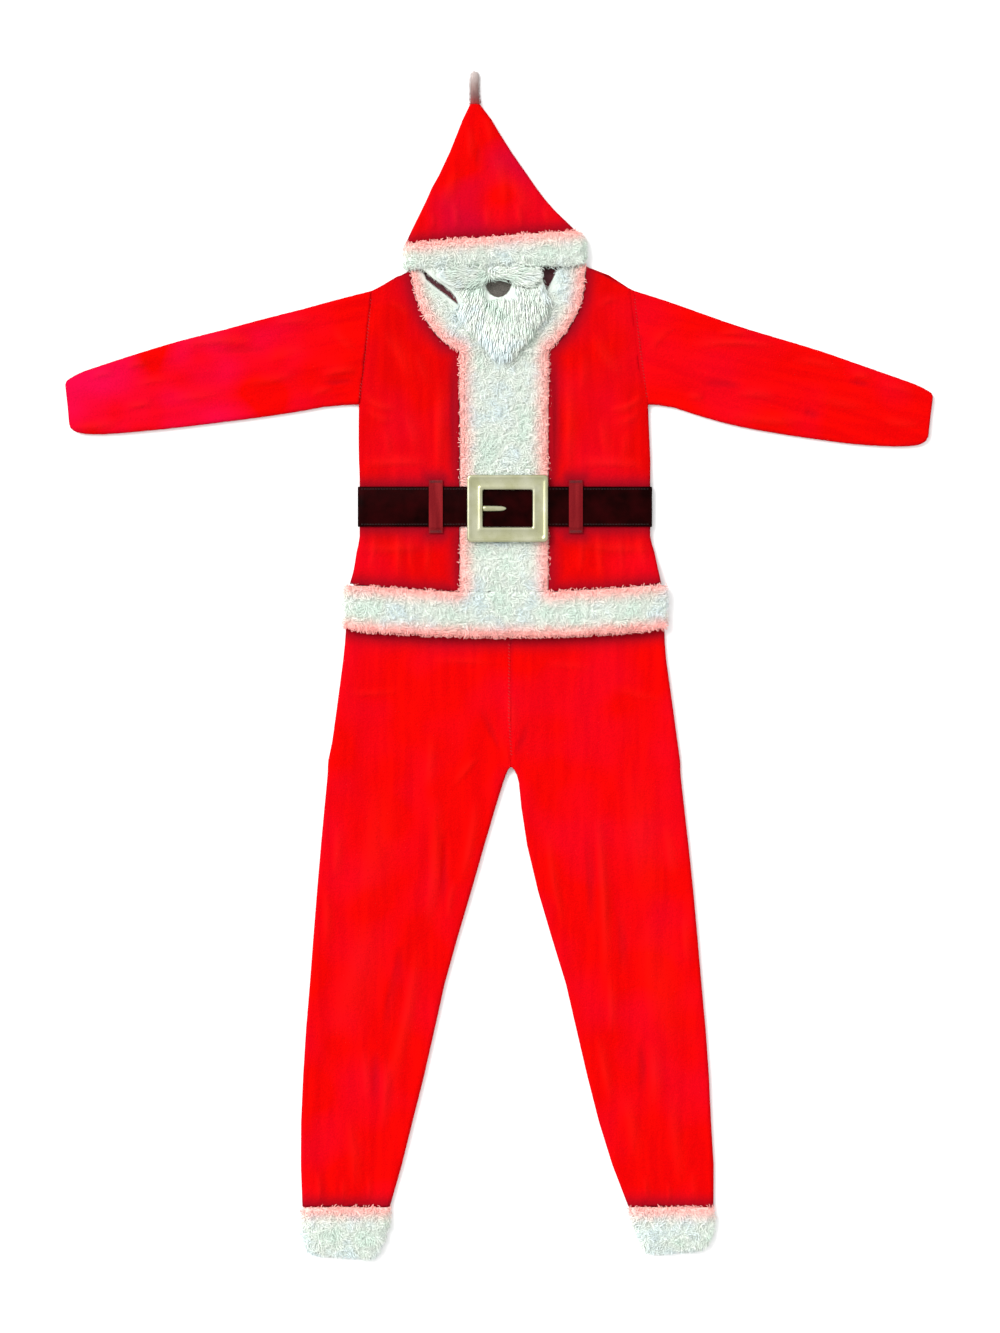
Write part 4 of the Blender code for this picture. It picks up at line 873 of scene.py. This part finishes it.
BODY_FOLDS = [Fold(*row) for row in (
    (-79, 366, -80, 262, -1, 5, 2.4),
    (87, 374, 88, 258, 1, 5, 2.4),
    (-63, 396, -63, 256, 0, 3.1, -1.2),
    (71, 396, 71, 254, 0, 3.1, -1.2),
    (-172, 264, -100, 266, 2, 5, 2.5),
    (106, 265, 180, 263, 2, 5, 2.5),
    (-176, 155, -104, 157, -2, 5, 2),
    (110, 158, 190, 155, -2, 5, 2),
    (-134, 172, -135, 122, 1, 3.1, 1.9),
    (-118, 170, -116, 128, -1, 2.5, 1.5),
    (-96, 171, -98, 122, 1, 3.1, 1.7),
    (-164, 171, -170, 130, 1, 3.1, 1.5),
    (104, 170, 102, 128, 1, 3.1, 1.7),
    (126, 172, 128, 122, -1, 3.1, 1.9),
    (152, 171, 156, 126, 1, 2.5, 1.5),
    (178, 170, 184, 132, 1, 3.1, 1.5),
    (-176, 354, -138, 338, -6, 3.7, 2.4),
    (-172, 336, -142, 322, -5, 3.7, 1.7),
    (181, 354, 144, 338, 6, 3.7, 2.4),
    (177, 334, 148, 320, 5, 3.7, 1.6),
    (-150, 432, -122, 378, 4, 5.6, 1.9),
    (-108, 408, -96, 372, -2, 4.3, 1.4),
    (124, 428, 152, 384, -4, 5.6, 1.9),
    (108, 404, 104, 364, 2, 4.3, 1.4),
    (-124, 330, -112, 284, 2, 5, 1.7),
    (-150, 310, -146, 276, 1, 4.3, 1.4),
    (132, 322, 138, 280, -2, 5, 1.7),
    (160, 304, 158, 274, 1, 4.3, 1.4),
    (-146, 474, -120, 456, 3, 3.7, 1.4),
    (128, 468, 150, 478, 3, 3.7, 1.4),
)]

jacket_fleece = brushed_fleece("red_fleece_jacket", dye=RED._replace(low="BC0203", high="CA0402"))
for node, facing, seams, under in (
    (
        "jacket_back", -1,
        ("sleeve_left", "sleeve_right", "jacket_front_left", "jacket_front_right"), (),
    ),
    ("jacket_front_left", 1, ("sleeve_left", "jacket_back"), ("jacket_back",)),
    ("jacket_front_right", 1, ("sleeve_right", "jacket_back"), ("jacket_back",)),
):
    piece = lay_cloth(f"{node}_cloth", node, BODY_FOLDS, jacket_fleece, side=facing, seams=seams)
    state_cut(node)

# ------------------------------------------------------------------ sleeves
# One straight tube each, sewn into the armhole and laid flat, so the nap runs down the arm.
# They crease along their length and above the armpit, where the arm would bend.

LEFT_SLEEVE_FOLDS = [Fold(*row) for row in (
    (-292, 447, -246, 451, 1, 3.7, 1.9),
    (-408, 419, -330, 424, 3, 5, 3.1),
    (-366, 409, -308, 412, 1, 3.7, -1.3),
    (-484, 391, -458, 395, 1, 3.7, 2),
    (-530, 378, -504, 382, 1, 3.7, 2),
    (-552, 313, -500, 318, -2, 4.3, 2.2),
    (-484, 340, -455, 344, -1, 3.7, 2),
    (-228, 380, -190, 386, 2, 4.3, 2.5),
    (-232, 367, -194, 371, 1, 3.1, -1.3),
    (-244, 356, -220, 362, 1, 3.7, 2),
    (-330, 371, -272, 381, -3, 4.3, 1.9),
    (-420, 352, -366, 358, -2, 5, 1.7),
    (-300, 400, -256, 412, 3, 5, 1.5),
    (-472, 366, -436, 374, 2, 3.7, 1.4),
    (-214, 438, -190, 414, -4, 4.3, 1.5),
)]
RIGHT_SLEEVE_FOLDS = [Fold(*row) for row in (
    (260, 419, 347, 418, 4, 4.3, 2.9),
    (284, 435, 321, 432, 1, 3.7, 1.9),
    (284, 427, 343, 424, 2, 3.1, -1.3),
    (456, 380, 478, 376, 1, 3.7, 2),
    (454, 371, 478, 367, 0, 3.1, -1.2),
    (308, 355, 353, 351, 2, 4.3, 2.1),
    (300, 327, 386, 321, -3, 5, 2.5),
    (243, 353, 262, 349, 1, 3.7, 1.9),
    (266, 368, 313, 364, 2, 3.7, -1.3),
    (394, 332, 412, 325, 0, 3.7, -1.3),
    (384, 398, 436, 388, 3, 4.3, 1.9),
    (412, 352, 470, 340, -3, 5, 1.7),
    (498, 366, 534, 356, 2, 3.7, 1.5),
    (498, 322, 540, 316, -2, 4.3, 1.9),
    (196, 412, 222, 440, 4, 4.3, 1.5),
)]

# How far the grain of each sleeve is turned from that of the legs.
LEFT_TURN, RIGHT_TURN = 1.40, 1.80
# The left sleeve has faded to crimson towards its cuff.
left_fleece = brushed_fleece(
    "red_fleece_left_sleeve", dye=RED._replace(crimson="CE063A"), turn=LEFT_TURN, crimson=1.0,
    from_x=-0.20, to_x=-0.42,
)
right_fleece = brushed_fleece("red_fleece_right_sleeve", turn=RIGHT_TURN)
for side, folds, turn, finish in (
    ("left", LEFT_SLEEVE_FOLDS, LEFT_TURN, left_fleece),
    ("right", RIGHT_SLEEVE_FOLDS, RIGHT_TURN, right_fleece),
):
    node = f"sleeve_{side}"
    piece = lay_cloth(
        f"{node}_cloth", node, folds, finish, side=0, turn=turn,
        seams=[f"jacket_front_{side}", "jacket_back"],
    )
    state_cut(node, tube_along="x")

# ------------------------------------------------------------------ collar, placket, hem band
# Strips of the white plush, each folded round the raw edge of the fleece and sewn down: the
# collar in three parts, the placket down the middle and the band round the hem.

fronts = ["jacket_front_left_cloth", "jacket_front_right_cloth"]
for at, (node, facing, under) in enumerate((
    ("hem_band_back", -1, ("jacket_back",)),
    ("hem_band_front", 1, ("hem_band_back",)),
    ("placket", 1, ("jacket_back",)),
    ("collar_back", 1, ("jacket_back",)),
    ("collar_left", 1, ("jacket_back",)),
    ("collar_right", 1, ("jacket_back",)),
)):
    below = ["pants_left_front_cloth", "pants_right_front_cloth"] if "hem" in node else []
    lay_plush(
        node, side=facing, rests_on=under, beside=fronts + below, reach=(12 if below else 14) * MM,
        hangs_over=below, Seed=21 + at,
    )

# ------------------------------------------------------------------ seam sewing
# Red thread sunk in the nap: the seam down the middle of the trousers and both armholes are
# sewn over on the face of the cloth with small slanted stitches.

THREAD_NODES = (
    "pants_left_front", "pants_right_front", "jacket_front_left", "jacket_front_right",
    "sleeve_left", "sleeve_right",
)


def sewing_thread(name, code):
    """Spun polyester thread: a dull gleam across its twisted plies."""
    material, tree, shader = new_finish(
        name, Roughness=0.62, IOR=1.52, Sheen_Weight=0.15, Specular_IOR_Level=0.3
    )
    place = add(tree, "ShaderNodeTexCoord").outputs["Object"]
    # Plies 0.5 mm apart, where real ones are about 0.2 mm.
    plies = add(
        tree, "ShaderNodeTexNoise", {"Vector": place, "Scale": 1 / (0.5 * MM), "Detail": 1.0}
    )
    shade = add(tree, "ShaderNodeMapRange", {"Value": plies, 1: 0.3, 2: 0.7, 3: 0.75, 4: 1.1})
    dyed = add(tree, "ShaderNodeHueSaturation", {"Color": colour(code), "Value": shade})
    twist = add(tree, "ShaderNodeBump", {"Strength": 0.5, "Distance": 0.2 * MM, "Height": plies})
    feed(shader, {"Base Color": dyed, "Normal": twist})
    return material


def stitches_tree():
    """Sets one stitch after another along a path, each arched with its ends in the cloth."""
    tree = new_geometry_tree("stitches", (
        ("Pitch", "Float", 4 * MM), ("Stitch", "Float", 3 * MM), ("Thread", "Float", 0.12),
        ("Slant", "Float", 0.0), ("Material", "Material", None),
    ))
    given = add(tree, "NodeGroupInput").outputs
    spine = add(
        tree, "GeometryNodeCurvePrimitiveBezierSegment",
        {"Resolution": 4, "Start": (-0.5, 0, -0.14), "Start Handle": (-0.36, 0, 0.1),
         "End Handle": (0.36, 0, 0.1), "End": (0.5, 0, -0.14)},
    )
    round_form = add(tree, "GeometryNodeCurvePrimitiveCircle", {"Resolution": 5, "Radius": 1.0})
    stitch = add(
        tree, "GeometryNodeCurveToMesh",
        {"Curve": spine, "Profile Curve": round_form, "Scale": given["Thread"], "Fill Caps": True},
    )
    spaced = add(
        tree, "GeometryNodeResampleCurve", {"Curve": given["Geometry"], "Length": given["Pitch"]},
        mode="LENGTH",
    )
    ahead = add(tree, "GeometryNodeInputTangent").outputs["Tangent"]
    level = add(tree, "FunctionNodeAlignRotationToVector", {"Vector": ahead}, axis="X")
    slant = add(tree, "ShaderNodeCombineXYZ", {2: given["Slant"]})
    slanting = add(tree, "FunctionNodeEulerToRotation", {"Euler": slant})
    turned = add(
        tree, "FunctionNodeRotateRotation", {"Rotation": level, "Rotate By": slanting},
        rotation_space="LOCAL",
    )
    sewn = add(
        tree, "GeometryNodeInstanceOnPoints",
        {"Points": spaced, "Instance": stitch, "Rotation": turned, "Scale": given["Stitch"]},
    )
    real = add(tree, "GeometryNodeRealizeInstances", {"Geometry": sewn})
    dyed = add(tree, "GeometryNodeSetMaterial", {"Geometry": real, "Material": given["Material"]})
    add(tree, "NodeGroupOutput", {"Geometry": dyed})
    return tree


stitch_tree = stitches_tree()


# How far the path of a thread lies above the cloth, and how far apart its places are.
THREAD_LIFT = 0.1 * MM
THREAD_STEP = 2 * MM


def sew(name, paths, on, material, **sizes):
    """Stitches along paths, each a list of (x, y), on top of the pieces named in on."""
    surface = search_tree(bpy.data.objects[piece_name].data for piece_name in on)
    line = bpy.data.curves.new(name, "CURVE")
    line.dimensions = "3D"
    for path in paths:
        fine = []
        for (x0, y0), (x1, y1) in zip(path, path[1:]):
            steps = max(1, round(math.hypot(x1 - x0, y1 - y0) / THREAD_STEP))
            for at in range(steps):
                fine.append((x0 + (x1 - x0) * at / steps, y0 + (y1 - y0) * at / steps))
        fine.append(path[-1])
        laid = []
        for x, y in fine:
            hit = surface.ray_cast(Vector((x, y, 0.05)), Vector((0, 0, -1)))[0]
            if hit:
                laid.append((x, y, hit.z + THREAD_LIFT))
        spline = line.splines.new("POLY")
        spline.points.add(len(laid) - 1)
        for point, place in zip(spline.points, laid):
            point.co = (*place, 1.0)
    carrier = placed(name + "_path", line)
    piece = grown(carrier, stitch_tree, name, {"Material": material, **sizes})
    bpy.data.objects.remove(carrier)
    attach(piece, "root")
    return piece


red_thread = sewing_thread("red_thread", "A60A0E")
middle_seam = [(0.0105, 0.030), (0.0105, -0.060), (0.0135, -0.112)]
left_armhole = [(-0.1692, 0.478), (-0.1722, 0.440), (-0.1784, 0.392), (-0.1836, 0.352)]
right_armhole = [(0.1743, 0.478), (0.1778, 0.440), (0.1842, 0.392), (0.1898, 0.352)]
seam_stitches = sew(
    "seam_stitches", (middle_seam, left_armhole, right_armhole),
    [f"{node}_cloth" for node in THREAD_NODES], red_thread,
    Pitch=4.2 * MM, Stitch=3.4 * MM, Thread=0.09, Slant=0.9,
)

# ------------------------------------------------------------------ belt
# A flat strap of black artificial leather on a woven ground, cut and stitched along both
# edges in black thread. It goes once round the waist, under the loops and the buckle.


def artificial_leather():
    """Embossed black artificial leather: a fine pebbled grain, dull, with a soft gleam."""
    material, tree, shader = new_finish(
        "black_artificial_leather", Roughness=0.6, IOR=1.5, Specular_IOR_Level=0.015
    )
    place = add(tree, "ShaderNodeTexCoord").outputs["Object"]
    # Grain pebbles 1.7 mm wide, where real ones are about 1 mm.
    pebbles = add(tree, "ShaderNodeTexVoronoi", {"Vector": place, "Scale": 1 / (1.7 * MM)})
    clouds = add(
        tree, "ShaderNodeTexNoise", {"Vector": place, "Scale": 1 / (26 * MM), "Detail": 3.0}
    )
    shade = add(
        tree, "ShaderNodeValToRGB", {"Fac": clouds}, stops=((0.35, "0E0000"), (0.70, "220102"))
    )
    dull = add(tree, "ShaderNodeMapRange", {"Value": clouds, 1: 0.3, 2: 0.7, 3: 0.44, 4: 0.62})
    grain = add(
        tree, "ShaderNodeBump", {"Strength": 0.35, "Distance": 0.25 * MM, "Height": pebbles},
        invert=True,
    )
    feed(shader, {
        "Base Color": shade, "Roughness": dull,
        "Normal": grain,
    })
    return material


# The angle from which an edge is sharp, in radians.
SHARP = 0.8


def edged(name, node, material, width, spacing):
    """A node's form cut finer, with its sharp edges rounded over."""
    mesh = welded(node)
    sharp = [edge for edge in mesh.edges if edge.is_manifold and edge.calc_face_angle() > SHARP]
    long = [edge for edge in mesh.edges if edge.calc_length() > spacing and edge not in sharp]
    bmesh.ops.subdivide_edges(mesh, edges=long, cuts=1)
    bmesh.ops.triangulate(mesh, faces=[face for face in mesh.faces if len(face.verts) > 4])
    piece = add_piece(name, mesh, material)
    rounding = piece.modifiers.new("rounded_edge", "BEVEL")
    rounding.width = width
    rounding.segments = 2
    rounding.limit_method = "ANGLE"
    rounding.angle_limit = SHARP
    stand_for(piece, node)
    return piece


belt_finish = artificial_leather()
belt_strap = edged("belt_strap", "belt", belt_finish, 0.45 * MM, 40 * MM)
# The heights of the two rows of stitches, and where each row shows between what crosses it.
BELT_EDGES = (0.1865, 0.2321)
BELT_RUNS = ((-0.1800, -0.0965), (-0.0725, -0.0465), (0.0635, 0.0850), (0.1090, 0.1900))
black_thread = sewing_thread("black_thread", "241A1A")
belt_stitches = sew(
    "belt_stitches", [[(start, y), (end, y)] for y in BELT_EDGES for start, end in BELT_RUNS],
    ["belt_strap"], black_thread, Pitch=3.6 * MM, Stitch=2.9 * MM, Thread=0.10, Slant=0.0,
)
# The belt's box, which nothing uses. Once round is twice the width of the waist, and a little more
# at the two turns.
low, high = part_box("belt")

# ------------------------------------------------------------------ belt loops
# Two short straps of dark red fleece over the belt. Each end is turned under and held to
# the jacket by a bar of close dark stitches.

MAROON = Dye("6C1419", "842023", "6E1620", "94423C", "300508")
loop_fleece = brushed_fleece("dark_red_fleece", dye=MAROON, crimson=0.0)
dark_thread = sewing_thread("dark_thread", "4A1014")
# A loop is longer than it looks, for its two turned ends.
for side in ("left", "right"):
    node = f"belt_loop_{side}"
    loop = edged(f"{node}_strap", node, loop_fleece, 0.4 * MM, 12 * MM)
    low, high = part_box(node)
    bars = [
        [(low[0] + 2.2 * MM, y), (high[0] - 2.2 * MM, y)]
        for y in (low[1] + 1.6 * MM, low[1] + 3.0 * MM, high[1] - 3.0 * MM, high[1] - 1.6 * MM)
    ]
    tacks = sew(
        f"{node}_tacks", bars, [f"{node}_strap"], dark_thread,
        Pitch=1.3 * MM, Stitch=1.9 * MM, Thread=0.15, Slant=1.3,
    )

# ------------------------------------------------------------------ buckle
# A moulded plastic frame plated pale gold, with a raised rim outside and a smaller one round
# its opening. The prong is a separate tapered bar that lies on the belt inside the frame.


def pale_gold_plate():
    """Bright plating dulled to a satin by tumbling: soft broad highlights, faint scratches."""
    material, tree, shader = new_finish("plated_pale_gold", Metallic=1.0, Roughness=0.34)
    place = add(tree, "ShaderNodeTexCoord").outputs["Object"]
    cast = add(
        tree, "ShaderNodeTexNoise", {"Vector": place, "Scale": 1 / (22 * MM), "Detail": 2.0}
    )
    tint = add(
        tree, "ShaderNodeValToRGB", {"Fac": cast}, stops=((0.35, "A9A985"), (0.70, "BDBDA3"))
    )
    # Tumbling marks 0.8 mm apart, where real ones are finer than 0.1 mm.
    marks = add(
        tree, "ShaderNodeTexNoise", {"Vector": place, "Scale": 1 / (0.8 * MM), "Detail": 3.0}
    )
    satin = add(tree, "ShaderNodeMapRange", {"Value": marks, 1: 0.3, 2: 0.7, 3: 0.26, 4: 0.44})
    dinted = add(tree, "ShaderNodeBump", {"Strength": 0.15, "Distance": 0.1 * MM, "Height": marks})
    feed(shader, {
        "Base Color": tint, "Roughness": satin,
        "Normal": dinted,
    })
    return material


def rounded_outline(centre, size, corner, height, steps=6):
    """The points of a rectangle with rounded corners, anticlockwise."""
    points = []
    for quarter, (across, along) in enumerate(((1, 1), (-1, 1), (-1, -1), (1, -1))):
        x = centre[0] + across * (size[0] / 2 - corner)
        y = centre[1] + along * (size[1] / 2 - corner)
        for step in range(steps + 1):
            angle = (quarter + step / steps) * math.pi / 2
            east, north = corner * math.cos(angle), corner * math.sin(angle)
            points.append(Vector((x + east, y + north, height)))
    return points


def ringed(name, rings, material, closed=True):
    """A piece lofted through rings of the same number of points."""
    mesh = bmesh.new()
    loops = [[mesh.verts.new(point) for point in ring] for ring in rings]
    for first, second in zip(loops, loops[1:] + loops[:1] if closed else loops[1:]):
        for at in range(len(first)):
            after = (at + 1) % len(first)
            mesh.faces.new((first[at], first[after], second[after], second[at]))
    if not closed:
        mesh.faces.new(loops[0])
        mesh.faces.new(loops[-1])
    bmesh.ops.recalc_face_normals(mesh, faces=mesh.faces)
    return add_piece(name, mesh, material)


gold_finish = pale_gold_plate()
low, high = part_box("buckle_frame")
buckle_centre = ((low[0] + high[0]) / 2, (low[1] + high[1]) / 2)
outer = (high[0] - low[0], high[1] - low[1])
foot, crest = low[2], high[2]
# How wide the bar of the frame is at its sides, and at its top and bottom.
BAR = (20.5 * MM, 19.5 * MM)
# The section of the bar from outside to inside: how far in, as a share, and how high.
BAR_SECTION = (
    (0.00, 0.0), (0.00, 0.62), (0.015, 0.80), (0.05, 0.93), (0.10, 1.0), (0.17, 1.0),
    (0.22, 0.94), (0.26, 0.80), (0.32, 0.74), (0.66, 0.74), (0.72, 0.79), (0.76, 0.90),
    (0.81, 0.95), (0.87, 0.95), (0.93, 0.86), (0.975, 0.66), (1.00, 0.40), (1.00, 0.0),
)
rings = []
for inward, height in BAR_SECTION:
    size = (outer[0] - 2 * BAR[0] * inward, outer[1] - 2 * BAR[1] * inward)
    corner = (5.0 - 3.0 * inward) * MM
    rings.append(rounded_outline(buckle_centre, size, corner, foot + (crest - foot) * height))
buckle = ringed("buckle_plated_frame", rings, gold_finish)

# The prong from its bar to its tip: how far along, how wide and how high, each as a share.
PRONG_SECTIONS = (
    (0.00, 0.86, 0.90), (0.02, 1.00, 1.00), (0.15, 1.00, 1.00), (0.32, 0.98, 0.92),
    (0.55, 0.94, 0.82), (0.75, 0.88, 0.74), (0.87, 0.74, 0.66), (0.94, 0.54, 0.56),
    (0.985, 0.30, 0.46), (1.0, 0.12, 0.36),
)
low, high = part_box("buckle_prong")
prong_rings = []
for share, half, top in PRONG_SECTIONS:
    x = low[0] + (high[0] - low[0]) * share
    middle = (low[1] + high[1]) / 2
    half_wide = (high[1] - low[1]) / 2 * half
    tall = (high[2] - low[2]) * top
    # A flat foot with an arched back over it.
    ring = [Vector((x, middle - half_wide, low[2])), Vector((x, middle + half_wide, low[2]))]
    for step in range(9):
        angle = math.pi * step / 8
        arch = low[2] + tall * (0.35 + 0.65 * math.sin(angle))
        ring.append(Vector((x, middle + half_wide * math.cos(angle), arch)))
    prong_rings.append(ring)
prong = ringed("buckle_plated_prong", prong_rings, gold_finish, closed=False)
for piece, node in ((buckle, "buckle_frame"), (prong, "buckle_prong")):
    stand_for(piece, node)

# ------------------------------------------------------------------ hat
# A tall cone of the red fleece, cut as a front and a back and laid flat. Its point ends in a
# thin tail of undyed brown-grey cloth, and its mouth is sewn into a broad brim of plush.

HAT_FOLDS = [Fold(*row) for row in (
    (-29, 678, -30, 650, 0, 3.1, -1.3),
    (-42, 700, -40, 662, 1, 3.7, 2),
    (-62, 602, -58, 572, 1, 3.1, 1.9),
    (-20, 598, -18, 572, 1, 3.1, 1.7),
    (22, 604, 26, 574, -1, 3.1, 1.9),
    (56, 598, 62, 574, -1, 2.5, 1.6),
    (-90, 590, -88, 572, 1, 2.5, 1.4),
    (-8, 664, 2, 608, 3, 5.6, 2),
    (-58, 644, -72, 600, -3, 5.6, 1.9),
    (10, 634, 34, 594, 2, 5, 1.8),
    (-22, 712, -14, 682, 2, 3.7, 1.5),
)]

hat_fleece = brushed_fleece("red_fleece_hat", dye=RED._replace(crimson="AC0428"), crimson=0.7)
for node, other, facing, under in (
    ("hat_back", "hat_front", -1, ()), ("hat_front", "hat_back", 1, ("hat_back",)),
):
    piece = lay_cloth(f"{node}_cloth", node, HAT_FOLDS, hat_fleece, side=facing, seams=[other])
    state_cut(node)
lay_plush("hat_brim", side=0, tube_along="x", beside=["hat_front_cloth"], Seed=31)


def tail_cloth():
    """Undyed brushed cloth, greyed and matted, darker and redder towards its foot at the hat."""
    material, tree, shader = new_finish(
        "undyed_tail_cloth", Roughness=0.95, IOR=1.46, Sheen_Weight=0.2, Specular_IOR_Level=0.1
    )
    place = add(tree, "ShaderNodeTexCoord").outputs["Object"]
    height = add(tree, "ShaderNodeSeparateXYZ", {"Vector": place}).outputs["Y"]
    low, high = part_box("hat_tip")
    matted = add(
        tree, "ShaderNodeTexNoise", {"Vector": place, "Scale": 1 / (2.2 * MM), "Detail": 4.0}
    )
    wander = add(
        tree, "ShaderNodeMath", {0: matted, 1: 9 * MM, 2: height}, operation="MULTIPLY_ADD"
    )
    share = add(
        tree, "ShaderNodeMapRange",
        {"Value": wander, 1: low[1] + 4 * MM, 2: high[1], 3: 0.0, 4: 1.0},
    )
    dye = add(
        tree, "ShaderNodeValToRGB", {"Fac": share},
        stops=((0.05, "8C3434"), (0.30, "7D5856"), (0.62, "947D78"), (1.0, "B6AAA6")),
    )
    nap = add(tree, "ShaderNodeBump", {"Strength": 0.7, "Distance": 0.6 * MM, "Height": matted})
    feed(shader, {"Base Color": dye, "Normal": nap})
    return material


tail_finish = tail_cloth()
mesh = welded("hat_tip")
mark = cut_fine(mesh, 2.5 * MM, 0)
places, _, _ = soften(mesh, mark, rounds=6)
for vert, place in zip(mesh.verts, places):
    vert.co = place
fullness = mesh.verts.layers.float.new("fullness")
for vert in mesh.verts:
    vert[fullness] = 1.0
tail = add_piece("hat_tail", mesh, tail_finish)
fuzz = grow_pile(tail, "hat_tail_nap", {
    "Material": tail_finish, "Spacing": 1.3 * MM, "Length": 2.4 * MM, "Width": 0.12, "Lean": 0.8,
    "Comb": -1.2, "Comb from": (-0.034, 0.850, 0.003), "Seed": 41,
})
for piece in (tail, fuzz):
    stand_for(piece, "hat_tip")
state_cut("hat_tip", tube_along="y")

# ------------------------------------------------------------------ beard and moustache
# Cut from the same plush with a longer pile. The beard lies on the collar, combed down to
# its point, and the moustache is sewn over it, combed out to its two ends.

lay_plush(
    "beard", rests_on=("collar_left", "collar_right"), bare=(-0.0033, 0.4925, 0.0200, 0.0128),
    Seed=51, Spacing=1.5 * MM, Length=8.5 * MM, Lean=1.0, Width=0.10, Comb=1.5, Swirl=16 * MM,
    **{"Comb from": (-0.012, 0.640, 0.012)},
)
lay_plush(
    "moustache", rests_on=("beard",), Seed=52, Spacing=1.5 * MM, Length=6.5 * MM, Lean=0.9,
    Width=0.12, Comb=1.3, Swirl=14 * MM, **{"Comb from": (-0.016, 0.512, 0.016)},
)

# ------------------------------------------------------------------ mouth
# A patch of dark grey pressed felt behind the opening in the beard, glued to its back.


def pressed_felt():
    """Pressed wool felt: dead matt, flecked with lighter fibres that lie every way."""
    material, tree, shader = new_finish(
        "dark_grey_felt", Roughness=1.0, IOR=1.46, Sheen_Weight=0.1, Specular_IOR_Level=0.05
    )
    place = add(tree, "ShaderNodeTexCoord").outputs["Object"]
    fibres = add(
        tree, "ShaderNodeTexNoise",
        {"Vector": place, "Scale": 1 / (1.5 * MM), "Detail": 5.0, "Distortion": 2.5},
    )
    shade = add(
        tree, "ShaderNodeValToRGB", {"Fac": fibres}, stops=((0.38, "3A3734"), (0.66, "746F68"))
    )
    raised = add(tree, "ShaderNodeBump", {"Strength": 0.6, "Distance": 0.5 * MM, "Height": fibres})
    feed(shader, {"Base Color": shade, "Normal": raised})
    return material


felt = edged("mouth_felt", "mouth_backing", pressed_felt(), 0.3 * MM, 6 * MM)
state_cut("mouth_backing")

# ------------------------------------------------------------------ stage and camera
# A plain pale sheet under the suit, a broad soft light above it and an even sky.

FLOOR_HALF = 4.0
FLOOR_BELOW = 0.3 * MM
floor_mesh = bmesh.new()
bmesh.ops.create_grid(floor_mesh, x_segments=1, y_segments=1, size=FLOOR_HALF)
bmesh.ops.translate(floor_mesh, verts=floor_mesh.verts, vec=(0, 0, -FLOOR_BELOW))
paper, _, paper_shader = new_finish("pale_paper", Roughness=0.9)
feed(paper_shader, {"Base Color": colour("F8F8F8")})
floor = add_piece("floor", floor_mesh, paper)

world = bpy.data.worlds.new("studio")
world.use_nodes = True
feed(world.node_tree.nodes["Background"], {"Color": colour("FFFFFF"), "Strength": 1.05})
bpy.context.scene.world = world

# One broad even light from high on the left, low enough to model the folds and the pile.
lamp_data = bpy.data.lights.new("high_soft_light", "SUN")
lamp_data.angle = math.radians(34)
lamp_data.energy = 3.2
lamp = placed("high_soft_light", lamp_data)
lamp.rotation_euler = Vector((1.15, -0.80, -1.25)).to_track_quat("-Z", "Y").to_euler()

# The camera looks straight down and takes in this height on the ground, in metres.
VIEW_HEIGHT = 1.733
LENS = 85.0
SENSOR = 36.0
camera_data = bpy.data.cameras.new("camera")
camera_data.lens = LENS
camera_data.sensor_width = SENSOR
camera = placed("camera", camera_data)
camera.location = (-0.0013, 0.002, VIEW_HEIGHT * LENS / SENSOR)
bpy.context.scene.camera = camera
bpy.context.scene.view_settings.view_transform = "Standard"
